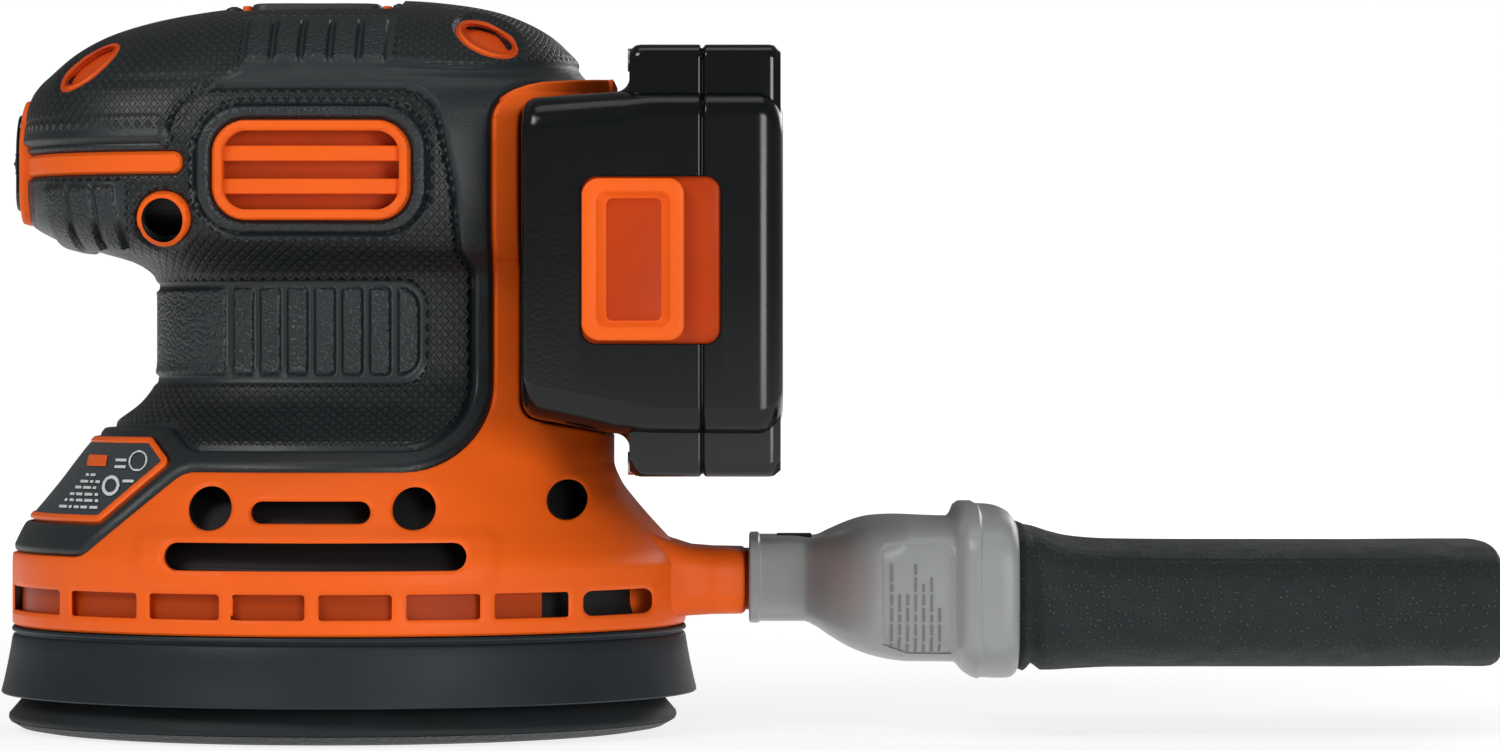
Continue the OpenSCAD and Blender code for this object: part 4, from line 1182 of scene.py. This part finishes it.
def make_pack_ends(outer_low, outer_high, half, seam, x1):
    """The two cell ends above and below the block, which grow out of it by a fillet."""
    start, fillet = 53.5, 2.7
    stations = stations_through(
        start - fillet * (1 - np.sin(np.radians(np.arange(0, 91, 10)))),
        start + np.array([0.05, 0.5, 1.1, 2.0]), np.linspace(start + 3, x1 - 4, 20),
        x1 - np.array([2.4, 1.6, 1.1, 0.7, 0.4]), seam + np.linspace(-1.2, 1.2, 17))
    rings = []
    for x in stations:
        reach = max(0, start - x)
        edge = max(0, 1.3 - max(0, x - start)) * 0.75 + max(0, 1.8 - (x1 - x)) * 0.8 + seam_inset(x, seam)
        z0, z1 = outer_low[2] + edge, outer_high[2] - edge
        if reach > 0:
            sweep = fillet - math.sqrt(max(0, fillet**2 - (fillet - reach) ** 2))
            z0, z1 = 55.5 - sweep, 116.8 + sweep
        rings.append(cross_ring(x, (z0 + z1) / 2, half - 3.4 - min(edge, 1.2), (z1 - z0) / 2, 2.6, 96))
    make_loft("pack_ends", rings, "gloss_black", "pack", replaces=("pack_shell_outer",), slot="gloss_black")


def make_pack():
    """The pack's shell: a block and two cell ends. Returns its half width."""
    low, high = box_mm("pack_shell_inner")
    outer_low, outer_high = box_mm("pack_shell_outer")
    half = (high[1] - low[1]) / 2
    seam, x1 = high[0], outer_high[0]
    block = make_pack_block(low, half, seam, x1)
    make_pack_ends(outer_low, outer_high, half, seam, x1)
    cut_opening(block, half)
    return half


def carve(block, points, faces):
    """Cuts a closed shape out of a piece."""
    mesh = bpy.data.meshes.new("cutter")
    mesh.from_pydata((points * MM).tolist(), [], outward(points, [list(f) for f in faces]))
    mesh.materials.append(block.data.materials[0])
    cutter = bpy.data.objects.new("cutter", mesh)
    bpy.context.scene.collection.objects.link(cutter)
    modifier = block.modifiers.new("cut", "BOOLEAN")
    modifier.object, modifier.operation, modifier.solver = cutter, "DIFFERENCE", "EXACT"
    applied = bpy.data.meshes.new_from_object(block.evaluated_get(bpy.context.evaluated_depsgraph_get()))
    block.modifiers.clear()
    block.data = applied
    applied.set_sharp_from_angle(angle=math.radians(35))
    bpy.data.objects.remove(cutter)


def cut_opening(block, half):
    """Cuts the slide's recess out of the pack's end."""
    points, faces = loft([side_ring(y, SLIDE_CENTRE, 12.7, 15.1, 2.8) for y in (-half - 3, -half + 2.8)])
    carve(block, points, faces)


def make_foam():
    """The pad's foam cushion, with its dust holes."""
    low, high = box_mm("pad_foam")
    edge, axis = (high[0] - low[0]) / 2, (high[0] + low[0]) / 2
    bottom, top = low[2], high[2]
    profile = [(14.5, bottom), (edge - 0.5, bottom), (edge - 0.12, bottom + 0.3), (edge, bottom + 0.6),
               (edge - 0.1, bottom + 1.3), (edge - 2.6, 5.9), (edge - 4.4, top - 0.3), (edge - 5, top),
               (14.5, top)]
    turns = np.radians(np.arange(0, 360, 1.5))
    rings = [[(axis + r * math.cos(a), r * math.sin(a), z) for r, z in profile] for a in turns]
    points, faces = loft(rings + rings[:1], capped=False)
    count = len(rings) * len(profile)
    faces = [[v % count for v in f] for f in faces]
    foam = make("foam_pad", points[:count], faces, "foam", "pad", ("pad_foam",), "foam")
    for k in range(8):
        turn = math.radians(45 * (k + 0.5))
        x, y = axis + 32.5 * math.cos(turn), 32.5 * math.sin(turn)
        hole = oval_ring(x, y, 5, 5, 0, 40)
        points, faces = loft([np.stack([*hole, np.full(40, z)], -1) for z in (bottom - 1, top + 1)])
        carve(foam, points, faces)


def make_button(half):
    """The release button: a slide in the pack's recess with a raised, dished thumb pad."""
    y = -half
    rings = [side_ring(y + depth, SLIDE_CENTRE, 12.45 - e, 14.95 - e, 2.7)
             for depth, e in ((2.7, 0), (1.2, 0), (0.95, 0.3))]
    # the slide plate's darker orange is painted shade in the pack's recess
    make_loft("slide_plate", rings, "orange_slide", "pack", slot="orange_plastic")
    # depth, and the inset at the sides and at the ends; the last three are the thumb pad's floor
    stages = ((0.8, 0, 0), (-1.0, 0, 0), (-1.35, 0.15, 0.15), (-1.55, 0.5, 0.5), (-1.6, 0.9, 0.9),
              (-1.6, 2.1, 2.1), (-1.45, 2.5, 2.4), (-1.1, 2.7, 2.6), (0.0, 3.8, 3.3), (0.35, 4.2, 3.7),
              (0.45, 4.8, 4.3), (1.0, 5.2, 4.7))
    rings = []
    for depth, dx, dz in stages:
        ring = rounded_ring(9.0 - dx, 14.5 - dz, max(0.9, 2.8 - 0.4 * dx), 64)
        bow = 0.9 * (1 - (ring[:, 1] / 14.5) ** 2) * (ring[:, 0] < 0) * (1 - dx / 6)
        rings.append([(54.4 + a - w, y + depth, 86.6 + b) for (a, b), w in zip(ring, bow)])
    make_loft("button", rings, "orange_plastic", "release", replaces=("release_button",),
              slot="orange_plastic")
    # the thumb pad's darker orange is painted shade in the button's dished middle
    rings = [side_ring(y + depth, (54.5, 86.6), w, h, 1.2)
             for depth, w, h in ((0.8, 5.0, 11.0), (0.28, 5.0, 11.0), (0.2, 4.8, 10.8))]
    make_loft("thumb_pad", rings, "orange_slide", "release", slot="orange_plastic")


# ---------------------------------------------------------------- dust adapter and bag

ADAPTER = np.array([
    # x, top, bottom, half width, squareness
    (74.9, 35.9, 20.2, 15.9, 6.0), (75.2, 36.4, 19.8, 16.4, 6.0), (76.6, 36.4, 19.8, 16.4, 6.0),
    (77.0, 36.0, 20.1, 16.0, 6.0), (85.0, 36.0, 20.1, 16.0, 5.5),
    (87.2, 36.6, 19.2, 18.6, 4.6), (90.0, 37.9, 17.4, 25.4, 4.0), (94.0, 38.9, 15.2, 32.4, 3.8),
    (98.5, 39.6, 13.7, 35.6, 3.8), (101.5, 39.7, 13.2, 36.4, 4.2), (104.0, 39.6, 13.1, 36.6, 5),
    (112.4, 39.3, 13.0, 36.9, 5),
    (113.2, 40.0, 12.5, 38.2, 4.6), (113.9, 41.6, 11.6, 40.0, 4.4), (115.0, 42.2, 10.7, 40.9, 4.4),
    (116.9, 42.2, 9.9, 41.4, 4.4), (117.3, 41.8, 10.1, 41.0, 4.4), (120.6, 41.5, 10.0, 41.0, 4.4),
    (122.6, 40.9, 10.1, 40.7, 4.4), (123.5, 39.9, 10.6, 40.1, 4.4), (124.0, 39.0, 11.4, 39.3, 4.4)])


ADAPTER_POINTS = 240
CLOTH_FRAMES = 16
# millimetres that a point of the cloth may move
CLOTH_CAP = 1.0


def section_ring(x, top, bottom, half, power, count=144, inset=0.0):
    """A squared oval across the X axis; a greater power makes it squarer."""
    turn = np.radians(np.arange(count) * 360 / count)
    c, s = np.cos(turn), np.sin(turn)
    y = (half - inset) * np.sign(c) * np.abs(c) ** (2 / power)
    z = (top + bottom) / 2 + ((top - bottom) / 2 - inset) * np.sign(s) * np.abs(s) ** (2 / power)
    return np.stack([np.full(count, x), y, z], -1)


def smooth_stations(table, xs):
    """Top, bottom, half width and squareness at each x, smoothly between a table's stations."""
    return [[pchip(table[:, 0], table[:, k], np.array([x]))[0] for k in range(1, 5)] for x in xs]


def press_in(ring, x, middle, half):
    """Dents a ring of the adapter: a scoop in its top and a hollow in each side where it widens."""
    dip = 2.9 * math.exp(-(((x - 90.5) / 3.6) ** 2)) * np.exp(-((ring[:, 1] / 14.0) ** 2))
    ring[:, 2] -= dip * (ring[:, 2] > middle)
    hollow = np.clip(1 - ((ring[:, 2] - 27) / 10.5) ** 2, 0, 1) * (np.abs(ring[:, 1]) > half * 0.6)
    ring[:, 1] -= np.sign(ring[:, 1]) * hollow * 2.0 * math.exp(-(((x - 93.0) / 4.2) ** 2))


def make_adapter_marks():
    """Faint printed columns of dashes, without lettering, on the adapter's side panels."""
    points, faces = [], []
    for column, end in enumerate((33.6, 29.0, 26.5, 32.0, 31.0, 30.0, 24.0)):
        x, z = 100.6 + 1.45 * column, 15.6
        (top, bottom, half, power), = smooth_stations(ADAPTER, [x + 0.25])
        for k in range(9):
            length = 1.4 + 0.6 * ((2 * column + 3 * k) % 4)
            if z + length > end:
                break
            start = len(points)
            for step in np.linspace(0, 1, 5):
                up = (z + length * step - (top + bottom) / 2) / ((top - bottom) / 2)
                side_at = half * (1 - abs(up) ** power) ** (1 / power) - 0.45
                points += [(x, -side_at, z + length * step), (x + 0.5, -side_at, z + length * step)]
            faces += [[start + 2 * i + corner for corner in (0, 1, 3, 2)] for i in range(4)]
            z += length + 0.45
    make_pair("adapter_marks", points, faces, "adapter_ink", "bag", slot="clear_grey", surface=True)


def make_adapter():
    """The translucent fan-shaped adapter between the outlet and the bag, with a wall of its own thickness."""
    xs = np.unique(np.concatenate([ADAPTER[:, 0], np.linspace(75.4, 124, 130)]))
    values = smooth_stations(ADAPTER, xs)
    rings = []
    for x, (top, bottom, half, power) in zip(xs, values):
        ring = section_ring(x, top, bottom, half, power, ADAPTER_POINTS)
        press_in(ring, x, (top + bottom) / 2, half)
        panel = away_box(np.full(len(ring), x), ring[:, 2], 99.2, 112.0, 14.2, 35.4, 1.6)
        press = 0.6 * ramp(-panel, -0.1, 0.4) * (np.abs(ring[:, 1]) > half * 0.9)
        ring[:, 1] -= np.sign(ring[:, 1]) * press
        rings.append(ring)
    for x, (top, bottom, half, power) in list(zip(xs, values))[::-1]:
        if 76 < x < 123.5:
            wall = 1.6 if x < 113 else 4.2
            rings.append(section_ring(x, top, bottom, half, power, ADAPTER_POINTS, wall))
            press_in(rings[-1], x, (top + bottom) / 2, half)
    points, faces = loft(rings, capped=False)
    # the last ring, inside the neck, joins the first, at the neck's end
    last, count = (len(rings) - 1) * ADAPTER_POINTS, ADAPTER_POINTS
    faces += [(last + j, last + (j + 1) % count, (j + 1) % count, j) for j in range(count)]
    make("adapter", points, faces, "clear_grey", "bag", ("bag_adapter",), "clear_grey", crease=50)


def make_adapter_trim():
    """The slot on the adapter's neck and a core inside the adapter, both near-black as painted shade, and the
    bag's cuff.
    """
    rings = [cross_ring(x, 35.75, 4.5, 0.5, 0.45, 32) for x in (80.2, 86.6)]
    make_loft("adapter_slot", rings, "liner", "bag", slot="clear_grey")
    core = np.arange(84.8, 96.1, 1.4)
    rings = [section_ring(x, top - 5.2, bottom + 2.2, half - 4.0, power)
             for x, (top, bottom, half, power) in zip(core, smooth_stations(ADAPTER, core))]
    make_loft("adapter_shade_core", rings, "liner", "bag", slot="bag_fabric")
    rings = [section_ring(x, *BAG_MOUTH, inset=d) for x, d in ((114.5, 1.2), (115, 0.6), (126, 0.6))]
    make_loft("bag_cuff", rings, "black_plastic", "bag", replaces=("bag_collar",), slot="bag_fabric")


BAG_MOUTH = (38.2, 12.6, 36.8, 4.0)


def bag_shape():
    """Stations of the bag at rest: x, top, bottom, half width, squareness."""
    low, high = box_mm("dust_bag")
    end = high[0] - 0.4
    return np.array([
        (124.0, 38.4, 12.0, 36.4, 4.0), (125.4, 38.4, 11.2, 36.9, 4.0), (126.8, 37.8, 12.7, 36.2, 4.0),
        (128.8, 37.5, 11.4, 36.9, 4.1), (131.4, 36.8, 11.5, 37.0, 3.9), (135.0, 35.9, 11.7, 37.0, 3.5),
        (142.0, 35.3, 11.9, 37.0, 3.2), (160.0, 35.1, 11.9, 37.2, 3.1), (200.0, 35.1, 11.9, 37.2, 3.1),
        (end - 1.8, 35.1, 11.8, 37.1, 3.1), (end - 0.8, 35.0, 11.9, 36.9, 3.1),
        (end - 0.3, 34.7, 12.2, 36.5, 3.1), (end, 34.0, 12.9, 35.8, 3.1)])


def make_bag():
    """The fabric bag: a soft box with a domed end, relaxed a little by a cloth simulation."""
    table = bag_shape()
    xs = stations_through(table[:, 0], np.linspace(table[0, 0], table[-1, 0], 96))
    count = 168
    rings = [section_ring(x, *v, count=count) for x, v in zip(xs, smooth_stations(table, xs))]
    centre = rings[-1].mean(axis=0)
    edge = rings[-1]
    for k, shrink in enumerate((0.93, 0.84, 0.72, 0.58, 0.42, 0.26, 0.12)):
        rings.append(centre + (edge - centre) * (1, shrink, shrink) + (0.35 * min(1, (k + 1) / 3), 0, 0))
    points, faces = loft(rings, capped=False)
    faces.append(range((len(rings) - 1) * count, len(rings) * count))
    bag = make("bag", points, faces, "bag_fabric", "bag", ("dust_bag",), "bag_fabric", crease=60)
    relax_bag(bag, points)


def simulate_cloth(bag):
    """The bag's points after a pressurised cloth simulation, in millimetres."""
    cloth = bag.modifiers.new("cloth", "CLOTH")
    settings = cloth.settings
    settings.quality = 5
    settings.mass = 0.12
    settings.tension_stiffness = settings.compression_stiffness = 18
    settings.bending_stiffness = 2.5
    settings.vertex_group_mass = "hold"
    settings.pin_stiffness = 0.6
    settings.use_pressure = True
    settings.uniform_pressure_force = 1.2
    settings.effector_weights.gravity = 0.3
    cloth.collision_settings.use_collision = False
    scene = bpy.context.scene
    for step in range(1, CLOTH_FRAMES + 1):
        scene.frame_set(step)
    shaped = bpy.data.meshes.new_from_object(bag.evaluated_get(bpy.context.evaluated_depsgraph_get()))
    moved = np.empty(len(shaped.vertices) * 3)
    shaped.vertices.foreach_get("co", moved)
    scene.frame_set(1)
    return moved.reshape(-1, 3) / MM


def relax_bag(bag, rest):
    """Lets the bag's fabric swell as cloth, pinned at the mouth, and applies a capped part of that."""
    group = bag.vertex_groups.new(name="hold")
    corner = np.maximum(ramp(np.abs(rest[:, 1]), 31, 36), ramp(rest[:, 0], 206, 211))
    for i, point in enumerate(rest):
        group.add([i], 1.0 if point[0] < 126.5 else float(0.25 + 0.5 * corner[i]), "REPLACE")
    shift = simulate_cloth(bag) - rest
    bag.modifiers.clear()
    bag.vertex_groups.clear()
    reach = np.linalg.norm(shift, axis=1, keepdims=True)
    shift *= np.minimum(1, CLOTH_CAP / np.maximum(reach, 1e-9))
    shift = shift * (ramp(rest[:, 0], 125, 132) * ramp(-rest[:, 0], -206, -186))[:, None]
    bag.data.vertices.foreach_set("co", ((rest + shift) * MM).ravel())
    bag.data.update()


# ---------------------------------------------------------------- stage

LIGHT_TARGET = (0.06, 0, 0.06)
# strength of the white surroundings as light on the tool, and as the camera sees them
BACKDROP_LIGHT, BACKDROP_SEEN = 0.16, 1.02


def add_object(name, data):
    """A new object in the scene."""
    made = bpy.data.objects.new(name, data)
    bpy.context.scene.collection.objects.link(made)
    return made


def area_light(name, place, size, power):
    """A rectangular lamp that looks at the tool's middle. Lengths are in metres."""
    data = bpy.data.lights.new(name, "AREA")
    data.shape = "RECTANGLE"
    data.size, data.size_y = size
    data.energy = power
    lamp = add_object(name, data)
    lamp.location = place
    direction = np.array(LIGHT_TARGET, float) - place
    yaw = math.atan2(direction[1], direction[0])
    pitch = math.atan2(direction[2], math.hypot(*direction[:2]))
    lamp.rotation_euler = (math.pi / 2 + pitch, 0, yaw - math.pi / 2)


def floor_finish():
    """White that glows more towards the floor's rim, so that shadows stay faint and no horizon shows."""
    floor = Finish("floor", (0.24, 0.24, 0.24), 0.8, Emission_Color=(1, 1, 1, 1))
    floor.tint(0.01, 3).grain(60, 0.2).bump(0.0002)
    distance = floor.node("ShaderNodeVectorMath", operation="LENGTH")
    floor.link(floor.place(), distance.inputs[0])
    glow = floor.node("ShaderNodeMapRange", From_Min=0.2, From_Max=1.4, To_Min=0.8, To_Max=1.05)
    floor.link(distance.outputs["Value"], glow.inputs["Value"])
    floor.link(glow.outputs["Result"], floor.shader.inputs["Emission Strength"])
    return floor.material


def white_world():
    """A white backdrop from every side, which lights the object only faintly."""
    world = bpy.data.worlds.new("world")
    world.use_nodes = True
    nodes = world.node_tree.nodes
    seen = nodes.new("ShaderNodeLightPath")
    strength = nodes.new("ShaderNodeMapRange")
    strength.inputs["To Min"].default_value = BACKDROP_LIGHT
    strength.inputs["To Max"].default_value = BACKDROP_SEEN
    world.node_tree.links.new(seen.outputs["Is Camera Ray"], strength.inputs["Value"])
    world.node_tree.links.new(strength.outputs["Result"], nodes["Background"].inputs["Strength"])
    nodes["Background"].inputs["Color"].default_value = (1, 1, 1, 1)
    return world


def make_floor():
    """A round white floor just under the pad. Lengths are in metres."""
    turns = np.radians(np.arange(0, 360, 5))
    points, faces = loft([[(r * math.cos(a), r * math.sin(a), -0.0002) for a in turns]
                          for r in (0.01, 0.3, 0.9, 1.8, 4.0)], capped=False)
    mesh = bpy.data.meshes.new("floor")
    mesh.from_pydata([tuple(point) for point in points], [], [tuple(f) for f in faces])
    mesh.materials.append(floor_finish())
    add_object("floor", mesh)


def make_camera():
    """The camera level with the tool's middle, at its left side."""
    data = bpy.data.cameras.new("camera")
    data.sensor_width = 36
    data.lens = 139.2
    data.clip_end = 20
    camera = add_object("camera", data)
    camera.location = (0.0751, -1.09, 0.0659)
    camera.rotation_euler = (math.pi / 2, 0, 0)
    bpy.context.scene.camera = camera


def make_stage():
    """A white floor and surroundings, soft lights and the camera."""
    make_floor()
    area_light("key", (-0.8, -0.95, 1.0), (0.7, 0.5), 10.5)
    area_light("fill", (0.75, -1.15, 0.22), (0.5, 0.5), 7.2)
    area_light("top", (0.1, -0.15, 1.3), (1.1, 0.5), 2.5)
    area_light("rear", (0.75, 1.2, 0.45), (0.8, 0.5), 4)
    bpy.context.scene.world = white_world()
    bpy.context.scene.view_settings.view_transform = "Standard"
    make_camera()


def main():
    """Makes every piece."""
    make_stage()
    finish_cad_nodes()
    make_shell()
    make_overmould()
    make_shade_liner()
    make_lip()
    make_label()
    make_label_marks()
    make_vent()
    screws = make_wells()
    make_hollows()
    make_screws(screws)
    make_front_switch()
    make_rocker()
    make_badge()
    make_spout()
    make_shroud()
    make_skirt()
    make_foam()
    make_button(make_pack())
    make_adapter()
    make_adapter_trim()
    make_adapter_marks()
    make_bag()


main()
